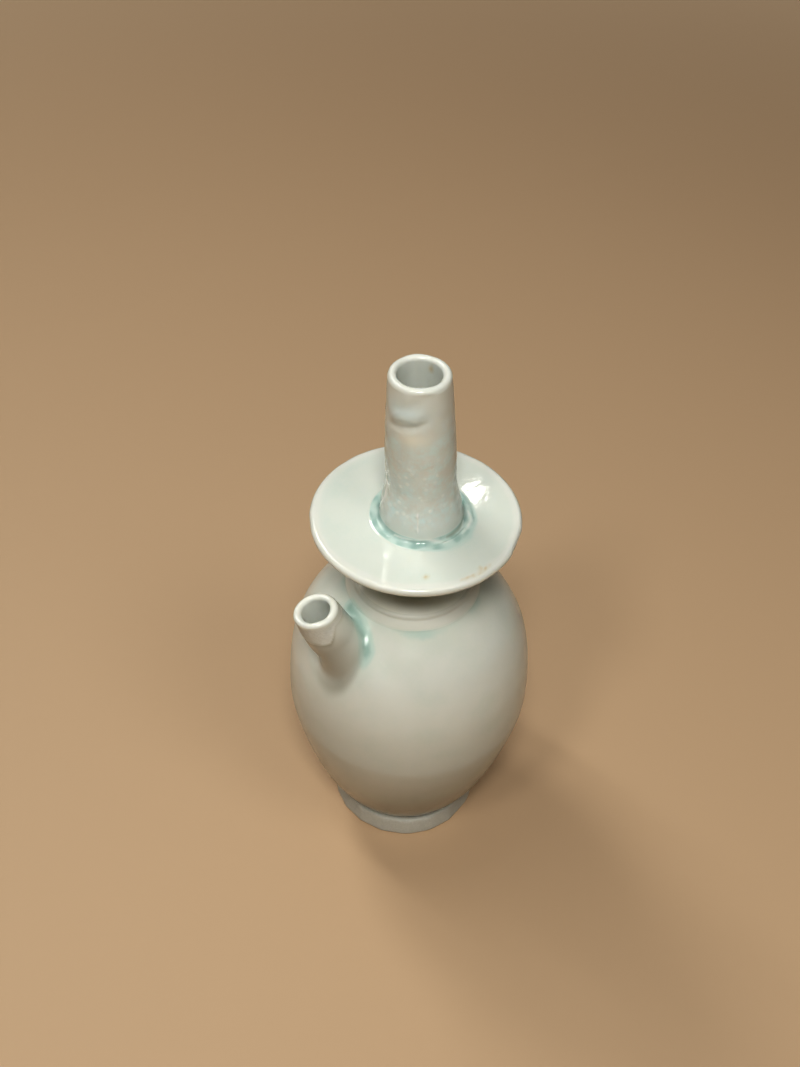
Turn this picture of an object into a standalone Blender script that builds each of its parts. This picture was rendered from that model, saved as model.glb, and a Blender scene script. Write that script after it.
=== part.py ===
"""Water dropper: a small porcelain bottle with a side spout, a wide disc on its neck and a fine tube.

The vessel is one fired piece. It is hollow from the tube's mouth down to the floor, and the side spout
opens into the same hollow. Metres, +Z up, the origin at the centre of the foot's underside, the side
spout towards -X.
"""
import bpy
from math import cos, hypot, radians, sin, sqrt, tan
from mathutils import Matrix, Vector
from mathutils.geometry import interpolate_bezier

# Foot: a low solid pad that spreads a little below the body
FOOT_RADIUS = 0.0152
FOOT_HEIGHT = 0.0046
FOOT_SPREAD = 0.0021
FOOT_BEVEL = 0.0005

# Body: an egg shape, drawn as one curve above the belly and one below it
BELLY_RADIUS = 0.0236
LOWER_BODY_HEIGHT = 0.0308
UPPER_BODY_HEIGHT = 0.0280
LOWER_SLOPE_DEG = 37.0
SHOULDER_SLOPE_DEG = 48.0
WALL = 0.0024
FLOOR_THICKNESS = 0.0036
FLOOR_ROUNDING = 0.0048

# Fullness of the body's curves, as shares of the height that each one spans
LOWER_SLOPE_SHARE = 0.214
BELLY_SHARE_DOWN = 0.182
BELLY_SHARE_UP = 0.768
SHOULDER_SLOPE_SHARE = 0.243

# Stepped collar, and the neck that stands on it
COLLAR_RADIUS = 0.0124
COLLAR_TAPER = 0.0012
COLLAR_HEIGHT = 0.0025
COLLAR_ROUNDING = 0.0005
COLLAR_CROWN = 0.0010
NECK_HEIGHT = 0.0131
NECK_BORE_RADIUS = 0.0043
NECK_WALL = 0.0023
NECK_FLARE = 0.0016

# Disc
DISC_RADIUS = 0.0185
DISC_EDGE = 0.0017
DISC_UNDERSIDE_DROP = 0.0010

# Upper tube, which was luted on a little askew
TUBE_HEIGHT = 0.0298
MOUTH_BORE_RADIUS = 0.0036
LIP_WALL = 0.00152
TUBE_WALL = 0.0017
TUBE_WAIST_RISE = 0.0095
TUBE_FULLNESS = 0.53
TUBE_FOOT_SPREAD = 0.0013
TUBE_FOOT_RISE = 0.0008
TUBE_FILLET = 0.0015
TUBE_FOOT_SHIFT = 0.0009
TUBE_TOP_SHIFT = -0.0004
LEAN_DIRECTION_DEG = -38.5

# Side spout
SPOUT_ROOT_HEIGHT = 0.0585
SPOUT_LENGTH = 0.0114
SPOUT_RISE_DEG = 69.8
SPOUT_SIDE_LEAN_DEG = 6.5
SPOUT_MOUTH_TILT_DEG = 10.5
SPOUT_BORE_RADIUS = 0.0025
SPOUT_LIP_WALL = 0.0015
SPOUT_SWELL = 0.0004
SPOUT_ROOT_SPREAD = 0.0016
SPOUT_WAIST_SHARE = 0.65

# Facets and cutting
VESSEL_STEPS = 60
CAVITY_STEPS = 38
SPOUT_STEPS = 28
UPPER_CURVE_STEPS = 9
LOWER_CURVE_STEPS = 8
TUBE_CURVE_STEPS = 4
ROUNDING_STEPS = 3
EDGE_STEPS = 6
MERGE = 0.000001
CUTTER_PASS = 0.0020
DEPTH_STEP = 0.0002
CREASE_DEG = 40.0

# Glaze
GLAZE_COLOUR = (0.62, 0.68, 0.63, 1.0)
GLAZE_ROUGHNESS = 0.16

# Radii and heights that follow from the sizes above
FOOT_TOP_RADIUS = FOOT_RADIUS - FOOT_SPREAD
COLLAR_TOP_RADIUS = COLLAR_RADIUS - COLLAR_TAPER
NECK_RADIUS = NECK_BORE_RADIUS + NECK_WALL
TUBE_TOP_RADIUS = MOUTH_BORE_RADIUS + LIP_WALL
TUBE_WAIST_RADIUS = NECK_BORE_RADIUS + TUBE_WALL
TUBE_FOOT_RADIUS = TUBE_WAIST_RADIUS + TUBE_FOOT_SPREAD
SPOUT_MOUTH_RADIUS = SPOUT_BORE_RADIUS + SPOUT_LIP_WALL
SPOUT_WAIST_RADIUS = SPOUT_MOUTH_RADIUS + SPOUT_SWELL
SPOUT_ROOT_RADIUS = SPOUT_WAIST_RADIUS + SPOUT_ROOT_SPREAD
BELLY_HEIGHT = FOOT_HEIGHT + LOWER_BODY_HEIGHT
SHOULDER_HEIGHT = BELLY_HEIGHT + UPPER_BODY_HEIGHT
COLLAR_TOP = SHOULDER_HEIGHT + COLLAR_HEIGHT
DISC_BOTTOM = COLLAR_TOP + NECK_HEIGHT
DISC_TOP = DISC_BOTTOM + DISC_EDGE
TUBE_FOOT = DISC_TOP + TUBE_FOOT_RISE
TUBE_WAIST = DISC_TOP + TUBE_WAIST_RISE
TUBE_TOP = DISC_TOP + TUBE_HEIGHT


def bezier(start, start_handle, end_handle, end, steps):
    """Points (radius, height) along a cubic curve, both ends included."""
    corners = [Vector((r, z)) for r, z in (start, start_handle, end_handle, end)]
    return [(p.x, p.y) for p in interpolate_bezier(*corners, steps + 1)]


def rounded(start, corner, end):
    """Points of a small curve from start to end that bends round a corner."""
    return bezier(start, corner, corner, end, ROUNDING_STEPS)


def arc(centre, radius, start_deg, end_deg, steps):
    """Points on a circle in the (radius, height) plane, both ends included."""
    points = []
    for i in range(steps + 1):
        angle = radians(start_deg + (end_deg - start_deg) * i / steps)
        points.append((centre[0] + radius * cos(angle), centre[1] + radius * sin(angle)))
    return points


def without_repeats(points):
    """Drop a point that lies where the one before it does."""
    kept = [points[0]]
    for point in points[1:]:
        if hypot(point[0] - kept[-1][0], point[1] - kept[-1][1]) > 10 * MERGE:
            kept.append(point)
    return kept


def body_curve():
    """The body's outer curve from the shoulder down to the top of the foot."""
    shoulder = (COLLAR_RADIUS, SHOULDER_HEIGHT)
    belly = (BELLY_RADIUS, BELLY_HEIGHT)
    foot = (FOOT_TOP_RADIUS, FOOT_HEIGHT)
    fall = radians(SHOULDER_SLOPE_DEG)
    climb = radians(LOWER_SLOPE_DEG)
    from_shoulder = SHOULDER_SLOPE_SHARE * UPPER_BODY_HEIGHT
    from_foot = LOWER_SLOPE_SHARE * LOWER_BODY_HEIGHT
    shoulder_handle = (shoulder[0] + from_shoulder * cos(fall), shoulder[1] - from_shoulder * sin(fall))
    above_belly = (belly[0], belly[1] + BELLY_SHARE_UP * UPPER_BODY_HEIGHT)
    below_belly = (belly[0], belly[1] - BELLY_SHARE_DOWN * LOWER_BODY_HEIGHT)
    foot_handle = (foot[0] + from_foot * cos(climb), foot[1] + from_foot * sin(climb))
    upper = bezier(shoulder, shoulder_handle, above_belly, belly, UPPER_CURVE_STEPS)
    lower = bezier(belly, below_belly, foot_handle, foot, LOWER_CURVE_STEPS)
    return upper + lower[1:]


def inner_curve():
    """The body's inner curve: the outer one, moved square to itself by the wall's thickness."""
    points = body_curve()
    moved = []
    for i, (r, z) in enumerate(points):
        before = points[max(i - 1, 0)]
        after = points[min(i + 1, len(points) - 1)]
        length = hypot(after[0] - before[0], after[1] - before[1])
        inwards = WALL * (after[1] - before[1]) / length
        downwards = WALL * (after[0] - before[0]) / length
        moved.append((r + inwards, z - downwards))
    return moved


def radius_on(curve, height):
    """The radius of a falling (radius, height) curve at a height."""
    for upper, lower in zip(curve, curve[1:]):
        if lower[1] <= height <= upper[1]:
            share = (upper[1] - height) / (upper[1] - lower[1])
            return upper[0] + (lower[0] - upper[0]) * share
    return curve[0][0] if height > curve[0][1] else curve[-1][0]


def tube_curve():
    """The upper tube's outer side, from under the lip down to its foot on the disc."""
    top = (TUBE_TOP_RADIUS, TUBE_TOP)
    waist = (TUBE_WAIST_RADIUS, TUBE_WAIST)
    foot = (TUBE_FOOT_RADIUS, TUBE_FOOT)
    upper_third = (top[1] - waist[1]) / 3
    lower_third = (waist[1] - foot[1]) / 3
    under_lip = (top[0] + TUBE_FULLNESS * (waist[0] - top[0]), top[1] - upper_third)
    above_foot = (foot[0] - TUBE_FOOT_SPREAD / 4, foot[1] + lower_third)
    upper = bezier(top, under_lip, (waist[0], waist[1] + upper_third), waist, TUBE_CURVE_STEPS)
    lower = bezier(waist, (waist[0], waist[1] - lower_third), above_foot, foot, ROUNDING_STEPS)
    return upper + lower[1:]


def neck_curve():
    """The neck, from the disc's underside down to the crown of the collar."""
    foot_radius = NECK_RADIUS + NECK_FLARE
    underside = (foot_radius, DISC_BOTTOM - DISC_UNDERSIDE_DROP)
    crown = (foot_radius, COLLAR_TOP + COLLAR_CROWN)
    middle = (NECK_RADIUS, (underside[1] + crown[1]) / 2)
    upper = rounded(underside, (NECK_RADIUS, underside[1]), middle)
    lower = rounded(middle, (NECK_RADIUS, crown[1]), crown)
    return upper + lower


def vessel_profile():
    """The whole outside, from the axis at the lip down to the axis under the foot."""
    lip = LIP_WALL / 2
    edge = DISC_EDGE / 2
    collar_corner = (COLLAR_TOP_RADIUS - COLLAR_ROUNDING, COLLAR_TOP - COLLAR_ROUNDING)
    points = [(0.0, TUBE_TOP + lip)]
    points += arc((TUBE_TOP_RADIUS - lip, TUBE_TOP), lip, 90, 0, TUBE_CURVE_STEPS)
    points += tube_curve()
    points += rounded((TUBE_FOOT_RADIUS, TUBE_FOOT), (TUBE_FOOT_RADIUS, DISC_TOP),
                      (TUBE_FOOT_RADIUS + TUBE_FILLET, DISC_TOP))
    points += arc((DISC_RADIUS - edge, DISC_BOTTOM + edge), edge, 90, -90, EDGE_STEPS)
    points += neck_curve()
    points += arc(collar_corner, COLLAR_ROUNDING, 75, 10, ROUNDING_STEPS)
    points += body_curve()
    points += [(FOOT_RADIUS - FOOT_BEVEL, FOOT_HEIGHT - 2 * FOOT_BEVEL), (FOOT_RADIUS, FOOT_BEVEL)]
    points += [(FOOT_RADIUS - FOOT_BEVEL, 0.0), (0.0, 0.0)]
    return without_repeats(points)


def cavity_profile():
    """The hollow, from above the mouth down the bore and the body's inside to the floor."""
    lip = LIP_WALL / 2
    inside = inner_curve()
    roof = COLLAR_TOP - WALL
    walls = [point for point in inside[1:-1] if point[1] > FLOOR_THICKNESS + WALL]
    last = walls[-1]
    mouth = arc((MOUTH_BORE_RADIUS + lip, TUBE_TOP), lip, 100, 180, ROUNDING_STEPS)
    points = [(0.0, TUBE_TOP + CUTTER_PASS), (mouth[0][0], TUBE_TOP + CUTTER_PASS)]
    points += mouth
    points += [(NECK_BORE_RADIUS, height) for height in (TUBE_WAIST, DISC_TOP, DISC_BOTTOM)]
    points += rounded((NECK_BORE_RADIUS, COLLAR_TOP), (NECK_BORE_RADIUS, roof), (NECK_RADIUS, roof))
    points += rounded((NECK_RADIUS, roof), (COLLAR_TOP_RADIUS - WALL, roof), inside[0])
    points += walls
    points += rounded(last, (last[0] - FLOOR_ROUNDING / 2, FLOOR_THICKNESS),
                      (last[0] - FLOOR_ROUNDING, FLOOR_THICKNESS))
    points += [(0.0, FLOOR_THICKNESS)]
    return without_repeats(points)


def spout_frame():
    """The spout's own frame: its origin at the mouth's centre, its Z along the spout, its X outwards."""
    rise = radians(SPOUT_RISE_DEG)
    outwards = Vector((-sin(rise), 0.0, -cos(rise)))
    upright = Vector((-cos(rise), 0.0, sin(rise)))
    along = Matrix.Rotation(radians(SPOUT_SIDE_LEAN_DEG), 3, outwards) @ upright
    wall = radius_on(body_curve(), SPOUT_ROOT_HEIGHT)
    aside = -SPOUT_LENGTH * along.y
    root = Vector((-sqrt(wall * wall - aside * aside), aside, SPOUT_ROOT_HEIGHT))
    turn = Matrix((outwards, along.cross(outwards), along)).transposed().to_4x4()
    return Matrix.Translation(root + SPOUT_LENGTH * along) @ turn


def depth_inside(curve, radius):
    """How far below the spout's mouth a ring of a radius lies wholly inside a curve of the body."""
    frame = spout_frame()
    depth = SPOUT_LENGTH
    deepest = SPOUT_LENGTH + 2 * BELLY_RADIUS
    outside = True
    while outside and depth < deepest:
        depth += DEPTH_STEP
        turns = [radians(360 * i / SPOUT_STEPS) for i in range(SPOUT_STEPS)]
        ring = [frame @ Vector((radius * cos(turn), radius * sin(turn), -depth)) for turn in turns]
        outside = any(hypot(point.x, point.y) > radius_on(curve, point.z) for point in ring)
    return depth


def spout_profile():
    """The side spout's outside, from its mouth at height 0 down to its root in the wall."""
    lip = SPOUT_LIP_WALL / 2
    depth = depth_inside(body_curve(), SPOUT_ROOT_RADIUS)
    mouth = (SPOUT_MOUTH_RADIUS, -lip)
    waist = (SPOUT_WAIST_RADIUS, -SPOUT_WAIST_SHARE * SPOUT_LENGTH)
    root = (SPOUT_ROOT_RADIUS, -depth)
    upper_third = (mouth[1] - waist[1]) / 3
    lower_third = (waist[1] - root[1]) / 3
    above_root = (root[0] - SPOUT_ROOT_SPREAD / 2, root[1] + lower_third)
    points = [(0.0, 0.0)]
    points += arc((SPOUT_MOUTH_RADIUS - lip, -lip), lip, 90, 0, ROUNDING_STEPS)
    points += bezier(mouth, (mouth[0], mouth[1] - upper_third), (waist[0], waist[1] + upper_third), waist,
                     ROUNDING_STEPS)
    points += bezier(waist, (waist[0], waist[1] - lower_third), above_root, root, ROUNDING_STEPS)
    points += [(0.0, -depth)]
    return without_repeats(points)


def spout_bore_profile():
    """The side spout's bore, from above its mouth down into the hollow."""
    lip = SPOUT_LIP_WALL / 2
    depth = depth_inside(inner_curve(), SPOUT_BORE_RADIUS)
    mouth = arc((SPOUT_BORE_RADIUS + lip, -lip), lip, 105, 180, ROUNDING_STEPS)
    points = [(0.0, CUTTER_PASS), (mouth[0][0], CUTTER_PASS)]
    points += mouth
    points += [(SPOUT_BORE_RADIUS, -SPOUT_WAIST_SHARE * SPOUT_LENGTH), (SPOUT_BORE_RADIUS, -depth)]
    points += [(0.0, -depth)]
    return without_repeats(points)


def tube_shift(height):
    """How far the bore's axis stands off the body's axis at a height."""
    if height <= DISC_BOTTOM:
        return 0.0
    if height <= DISC_TOP:
        return TUBE_FOOT_SHIFT * (height - DISC_BOTTOM) / DISC_EDGE
    return TUBE_FOOT_SHIFT + (TUBE_TOP_SHIFT - TUBE_FOOT_SHIFT) * (height - DISC_TOP) / TUBE_HEIGHT


def outside_shift(height):
    """The same for the outside, where the disc itself stays on the body's axis."""
    if height <= DISC_TOP:
        return 0.0
    return tube_shift(height) * min((height - DISC_TOP) / TUBE_FOOT_RISE, 1.0)


def lean(mesh, shift):
    """Slide each ring of a turned mesh sideways by the shift at its height."""
    aside = Vector((cos(radians(LEAN_DIRECTION_DEG)), sin(radians(LEAN_DIRECTION_DEG)), 0.0))
    for vertex in mesh.vertices:
        vertex.co += aside * shift(vertex.co.z)


def level_mouth(mesh):
    """Tilt the spout's mouth towards level, fading out at the spout's waist."""
    slope = tan(radians(SPOUT_MOUTH_TILT_DEG))
    fade = SPOUT_WAIST_SHARE * SPOUT_LENGTH
    for vertex in mesh.vertices:
        share = min(max(1 + vertex.co.z / fade, 0.0), 1.0)
        vertex.co.z += slope * share * vertex.co.x


def collection(name):
    made = bpy.data.collections.new(name)
    bpy.context.scene.collection.children.link(made)
    return made


def turned(name, profile, steps, home):
    """A solid of revolution: the profile as an open edge chain, turned by a Screw modifier."""
    mesh = bpy.data.meshes.new(name)
    corners = [(r, 0.0, z) for r, z in profile]
    edges = [(i, i + 1) for i in range(len(corners) - 1)]
    mesh.from_pydata(corners, edges, [])
    piece = bpy.data.objects.new(name, mesh)
    home.objects.link(piece)
    screw = piece.modifiers.new("Turn", "SCREW")
    screw.axis = "Z"
    screw.steps = steps
    screw.render_steps = steps
    screw.use_merge_vertices = True
    screw.merge_threshold = MERGE
    return piece


def settled(piece):
    """Replace a piece's mesh by its evaluated one, so that its vertices can be moved."""
    graph = bpy.context.evaluated_depsgraph_get()
    mesh = bpy.data.meshes.new_from_object(piece.evaluated_get(graph))
    mesh.name = piece.name
    piece.modifiers.clear()
    piece.data = mesh
    return mesh


def as_cutter(piece):
    piece.hide_render = True
    piece.display_type = "WIRE"


def combine(piece, other, operation):
    step = piece.modifiers.new(operation.title() + " " + other.name, "BOOLEAN")
    step.operation = operation
    step.solver = "EXACT"
    step.object = other


def glaze():
    """Pale blue-white glaze over white porcelain."""
    material = bpy.data.materials.new("qingbai_glaze")
    material.use_nodes = True
    shader = material.node_tree.nodes["Principled BSDF"]
    shader.inputs["Base Color"].default_value = GLAZE_COLOUR
    shader.inputs["Roughness"].default_value = GLAZE_ROUGHNESS
    shader.inputs["Metallic"].default_value = 0.0
    return material


def build():
    for item in list(bpy.data.objects):
        bpy.data.objects.remove(item)
    parts = collection("water_dropper")
    cutters = collection("cutters")

    vessel = turned("water_dropper", vessel_profile(), VESSEL_STEPS, parts)
    cavity = turned("cavity", cavity_profile(), CAVITY_STEPS, cutters)
    spout = turned("spout_outside", spout_profile(), SPOUT_STEPS, cutters)
    bore = turned("spout_bore", spout_bore_profile(), SPOUT_STEPS, cutters)

    lean(settled(vessel), outside_shift)
    lean(settled(cavity), tube_shift)
    for piece in (spout, bore):
        level_mouth(settled(piece))
        piece.matrix_world = spout_frame()
    for piece in (cavity, spout, bore):
        as_cutter(piece)

    combine(vessel, spout, "UNION")
    combine(vessel, cavity, "DIFFERENCE")
    combine(vessel, bore, "DIFFERENCE")
    vessel.data.materials.append(glaze())
    vessel.data.shade_smooth()
    vessel.data.set_sharp_from_angle(angle=radians(CREASE_DEG))


build()
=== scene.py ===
# %% [markdown]
# # A small porcelain water dropper
# The real piece is a bottle about as tall as a hand is wide. It was thrown in white porcelain, put together
# from a body, a disc, a tube and a side spout, and covered with a thin blue-green glaze.
# A scholar filled it through the tube and dripped water from the side spout.
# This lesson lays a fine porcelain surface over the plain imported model. Everything stays in that model's
# frame: +Z is up, and the side spout points towards -X.

from math import cos, radians, sin, sqrt, tan

import bpy
import numpy as np
from mathutils import Matrix, Vector


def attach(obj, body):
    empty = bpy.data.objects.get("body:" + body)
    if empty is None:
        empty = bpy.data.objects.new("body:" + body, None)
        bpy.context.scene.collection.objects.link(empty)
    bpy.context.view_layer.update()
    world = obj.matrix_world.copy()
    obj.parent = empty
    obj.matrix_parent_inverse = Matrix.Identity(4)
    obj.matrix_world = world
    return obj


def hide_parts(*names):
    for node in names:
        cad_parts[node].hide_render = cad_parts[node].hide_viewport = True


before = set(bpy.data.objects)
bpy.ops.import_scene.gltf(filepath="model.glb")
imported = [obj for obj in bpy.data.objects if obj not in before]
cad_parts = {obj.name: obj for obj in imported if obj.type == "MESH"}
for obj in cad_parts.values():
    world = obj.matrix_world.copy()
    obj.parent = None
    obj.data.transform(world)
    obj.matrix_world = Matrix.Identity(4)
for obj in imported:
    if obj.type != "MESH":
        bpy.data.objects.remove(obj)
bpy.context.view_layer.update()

# %% [markdown]
# ## The camera
# The pot was photographed from above and in front, from about a quarter of a metre away. A camera could be
# placed by eye, but here its distance, height and angles were solved from the round rims, which look like
# ellipses from above, so that the model's outline falls on the photograph's.

# %% Camera at the photograph's place
PHOTO_WIDTH = 800
FOCAL_PIXELS = 1200
SENSOR_WIDTH = 36.0
CAMERA_DISTANCE = 0.14876
CAMERA_HEIGHT = 0.22606
CAMERA_PITCH_DEG = 45.37
CAMERA_YAW_DEG = -1.02
CAMERA_ROLL_DEG = 2.03
FRONT_TURN_DEG = -38.5
NEAREST_SEEN = 0.005


def turn(degrees, axis):
    return Matrix.Rotation(radians(degrees), 4, axis)


camera_data = bpy.data.cameras.new("camera")
camera_data.sensor_fit = "HORIZONTAL"
camera_data.sensor_width = SENSOR_WIDTH
camera_data.lens = SENSOR_WIDTH * FOCAL_PIXELS / PHOTO_WIDTH
camera_data.clip_start = NEAREST_SEEN
camera = bpy.data.objects.new("camera", camera_data)
bpy.context.scene.collection.objects.link(camera)
stand = turn(FRONT_TURN_DEG, "Z") @ Matrix.Translation((0.0, -CAMERA_DISTANCE, CAMERA_HEIGHT))
aim = turn(-CAMERA_YAW_DEG, "Z") @ turn(90 - CAMERA_PITCH_DEG, "X") @ turn(CAMERA_ROLL_DEG, "Z")
camera.matrix_world = stand @ aim
bpy.context.scene.camera = camera
print("camera at", [round(v, 4) for v in camera.matrix_world.translation], "lens", camera_data.lens)

# %% [markdown]
# ## The sizes
# A turned pot is described by its profile, so the sizes below are radii and heights in millimetres, the unit
# a potter would measure it in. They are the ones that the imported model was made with. Working in millimetres
# keeps the numbers readable, and one factor turns them into metres when the mesh is made.

# %% Driving sizes in millimetres
MM = 0.001
FOOT_RADIUS = 15.2
FOOT_HEIGHT = 4.6
FOOT_TOP_RADIUS = 13.1
BELLY_RADIUS = 23.6
BELLY_HEIGHT = 35.4
SHOULDER_HEIGHT = 63.4
WALL = 2.4
FLOOR_THICKNESS = 3.6
COLLAR_RADIUS = 12.4
COLLAR_TOP_RADIUS = 11.2
COLLAR_TOP = 65.9
CROWN_HEIGHT = 66.9
NECK_BORE_RADIUS = 4.3
NECK_RADIUS = 6.6
NECK_FLARE = 1.6
DISC_RADIUS = 18.5
DISC_BOTTOM = 79.0
DISC_TOP = 80.7
TUBE_FOOT = 81.5
TUBE_WAIST = 90.2
TUBE_TOP = 110.5
TUBE_FOOT_RADIUS = 7.3
TUBE_WAIST_RADIUS = 6.0
TUBE_TOP_RADIUS = 5.12
MOUTH_BORE_RADIUS = 3.6
LIP = (TUBE_TOP_RADIUS - MOUTH_BORE_RADIUS) / 2
print("lip wall", round(2 * LIP, 2), "mm, top at", round(TUBE_TOP + LIP, 2), "mm")

# %% [markdown]
# ## The profile
# On the wheel, the potter's fingers draw one line from the foot to the lip, and the clay follows it round.
# We draw the same line with three helpers: a straight stretch, an arc and a free curve. The line starts
# under the foot, climbs the outside, rolls over the lip and goes down inside to the floor. A Screw modifier
# could turn it, but with the rings in a table we can open the wall for the spout without any cutting.


# %% Helpers that draw the profile
def straight(start, end, steps):
    share = np.linspace(0.0, 1.0, steps + 1)[:, None]
    return np.array(start) * (1 - share) + np.array(end) * share


def arc(centre, radius, start_deg, end_deg, steps):
    angle = np.radians(np.linspace(start_deg, end_deg, steps + 1))
    return np.stack([centre[0] + radius * np.cos(angle), centre[1] + radius * np.sin(angle)], 1)


def free(start, start_pull, end_pull, end, steps):
    t = np.linspace(0.0, 1.0, steps + 1)[:, None]
    a, b, c, d = (np.array(p) for p in (start, start_pull, end_pull, end))
    return a * (1 - t) ** 3 + 3 * b * t * (1 - t) ** 2 + 3 * c * t * t * (1 - t) + d * t ** 3


def eased(start, corner, end, steps):
    return free(start, corner, corner, end, steps)

# %% [markdown]
# The body is an egg shape with its widest place a little above the middle. The hollow keeps the same curve,
# moved inwards by the wall's thickness, as a thrown wall does.

# %% Body curves, outside and inside
LOWER_STEPS = 26
UPPER_STEPS = 52
LOWER_SLOPE_DEG = 37.0
LOWER_PULL = 6.59
SHOULDER_SLOPE_DEG = -48.0
SHOULDER_PULL = 6.8
BELLY_DOWN = 5.6
BELLY_UP = 21.5


def pull(slope_deg, length):
    return Vector((cos(radians(slope_deg)), sin(radians(slope_deg)))) * length


def moved_inwards(curve, depth):
    ahead = np.gradient(curve, axis=0)
    ahead /= np.linalg.norm(ahead, axis=1, keepdims=True)
    return curve + depth * np.stack([-ahead[:, 1], ahead[:, 0]], 1)


off_foot, off_shoulder = pull(LOWER_SLOPE_DEG, LOWER_PULL), pull(SHOULDER_SLOPE_DEG, SHOULDER_PULL)
body_foot, belly = (FOOT_TOP_RADIUS, FOOT_HEIGHT), (BELLY_RADIUS, BELLY_HEIGHT)
lower_body = free(body_foot, (FOOT_TOP_RADIUS + off_foot.x, FOOT_HEIGHT + off_foot.y),
                  (BELLY_RADIUS, BELLY_HEIGHT - BELLY_DOWN), belly, LOWER_STEPS)
upper_body = free(belly, (BELLY_RADIUS, BELLY_HEIGHT + BELLY_UP),
                  (COLLAR_RADIUS + off_shoulder.x, SHOULDER_HEIGHT + off_shoulder.y),
                  (COLLAR_RADIUS, SHOULDER_HEIGHT), UPPER_STEPS)
inner_body = moved_inwards(np.vstack([lower_body, upper_body[1:]]), WALL)
print("body from", lower_body[0].round(1), "over", upper_body[0].round(1), "to", upper_body[-1].round(1))

# %% [markdown]
# Each stretch of the profile gets the name of the place it makes. The names are used later, to say where
# glaze pools, where it runs thin and where the clay stays bare.

# %% Rings of the foot and the body
profile = []
places = []
SAME_RING = 0.001
POLE_RADIUS = 1.2
RECESS = 0.35
RECESS_RADIUS = 9.5
RECESS_EDGE = 10.3
STANDING_RADIUS = 11.2
FOOT_ROUND = 0.5
FOOT_SIDE = (FOOT_RADIUS - 0.45, 3.4)
FOOT_EDGE = (FOOT_RADIUS - 0.7, 4.3)


def stretch(place, *curves):
    """Add rings to the profile, apart from one that lies on the ring before it."""
    for radius, height in np.vstack(curves):
        if profile and np.hypot(profile[-1][0] - radius, profile[-1][1] - height) < SAME_RING:
            continue
        profile.append((radius, height))
        places.append(place)


stretch("underside", straight((POLE_RADIUS, RECESS), (RECESS_RADIUS, RECESS), 4),
        free((RECESS_RADIUS, RECESS), (RECESS_EDGE, RECESS), (RECESS_EDGE, 0.0), (STANDING_RADIUS, 0.0), 4),
        straight((STANDING_RADIUS, 0.0), (FOOT_RADIUS - FOOT_ROUND, 0.0), 2))
stretch("foot", arc((FOOT_RADIUS - FOOT_ROUND, FOOT_ROUND), FOOT_ROUND, -90, 0, 4),
        straight((FOOT_RADIUS, FOOT_ROUND), FOOT_SIDE, 6), eased(FOOT_SIDE, FOOT_EDGE, body_foot, 6))
stretch("body", lower_body, upper_body)
print("rings up to the shoulder:", len(profile))

# %% [markdown]
# The collar is a low step with a rounded edge, and the neck stands on it. The disc was thrown apart and luted
# to the neck's head. Its innermost rings lie close together, because the glaze pool needs them there.

# %% Rings of the collar, the neck and the disc
COLLAR_ROUND = 0.8
CROWN_RADIUS = COLLAR_TOP_RADIUS - 0.66
POOL_OUTER_RADIUS = 10.2
POOL_INNER_RADIUS = 8.1
POOL_RINGS = 22
collar_edge = COLLAR_TOP - COLLAR_ROUND
rim = (DISC_TOP - DISC_BOTTOM) / 2
disc_edge = DISC_RADIUS - rim
neck_end = DISC_BOTTOM - 1.0
neck_foot = (NECK_RADIUS + NECK_FLARE, CROWN_HEIGHT)
neck_middle = (NECK_RADIUS, (CROWN_HEIGHT + neck_end) / 2)
neck_head = (NECK_RADIUS + NECK_FLARE, neck_end)

stretch("collar", straight((COLLAR_RADIUS, SHOULDER_HEIGHT), (COLLAR_TOP_RADIUS, collar_edge), 8),
        arc((COLLAR_TOP_RADIUS - COLLAR_ROUND, collar_edge), COLLAR_ROUND, 10, 75, 5))
stretch("crown", straight((CROWN_RADIUS, COLLAR_TOP), neck_foot, 5))
stretch("neck", eased(neck_foot, (NECK_RADIUS, CROWN_HEIGHT), neck_middle, 6),
        eased(neck_middle, (NECK_RADIUS, neck_end), neck_head, 6))
stretch("disc_under", straight(neck_head, (disc_edge, DISC_BOTTOM), 10))
stretch("rim", arc((disc_edge, DISC_BOTTOM + rim), rim, -90, 90, 14))
stretch("disc_top", straight((disc_edge, DISC_TOP), (POOL_OUTER_RADIUS, DISC_TOP), 18))
stretch("pool", straight((POOL_OUTER_RADIUS, DISC_TOP), (POOL_INNER_RADIUS, DISC_TOP), POOL_RINGS))
print("rings up to the pool:", len(profile))

# %% [markdown]
# The tube widens into its foot, narrows to a waist and tapers to the lip. From the lip, the line goes down
# the bore, out under the collar and down the inner wall to the floor.

# %% Rings of the tube, the lip and the hollow
FOOT_CURVE = ((7.6, DISC_TOP), (7.38, 81.0))
WAIST_CURVE = ((6.98, 84.4), (TUBE_WAIST_RADIUS, 87.3))
TAPER_CURVE = ((TUBE_WAIST_RADIUS, 96.97), (5.59, 103.73))
tube_foot, tube_waist = (TUBE_FOOT_RADIUS, TUBE_FOOT), (TUBE_WAIST_RADIUS, TUBE_WAIST)
roof = COLLAR_TOP - WALL
inner_wall = [p for p in inner_body[::-1] if p[1] > FLOOR_THICKNESS + WALL]
inner_wall = inner_wall[:UPPER_STEPS + 1] + inner_wall[UPPER_STEPS + 1::2]
wall_foot = inner_wall[-1]
floor_edge = (wall_foot[0] - 2 * WALL, FLOOR_THICKNESS)

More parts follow.
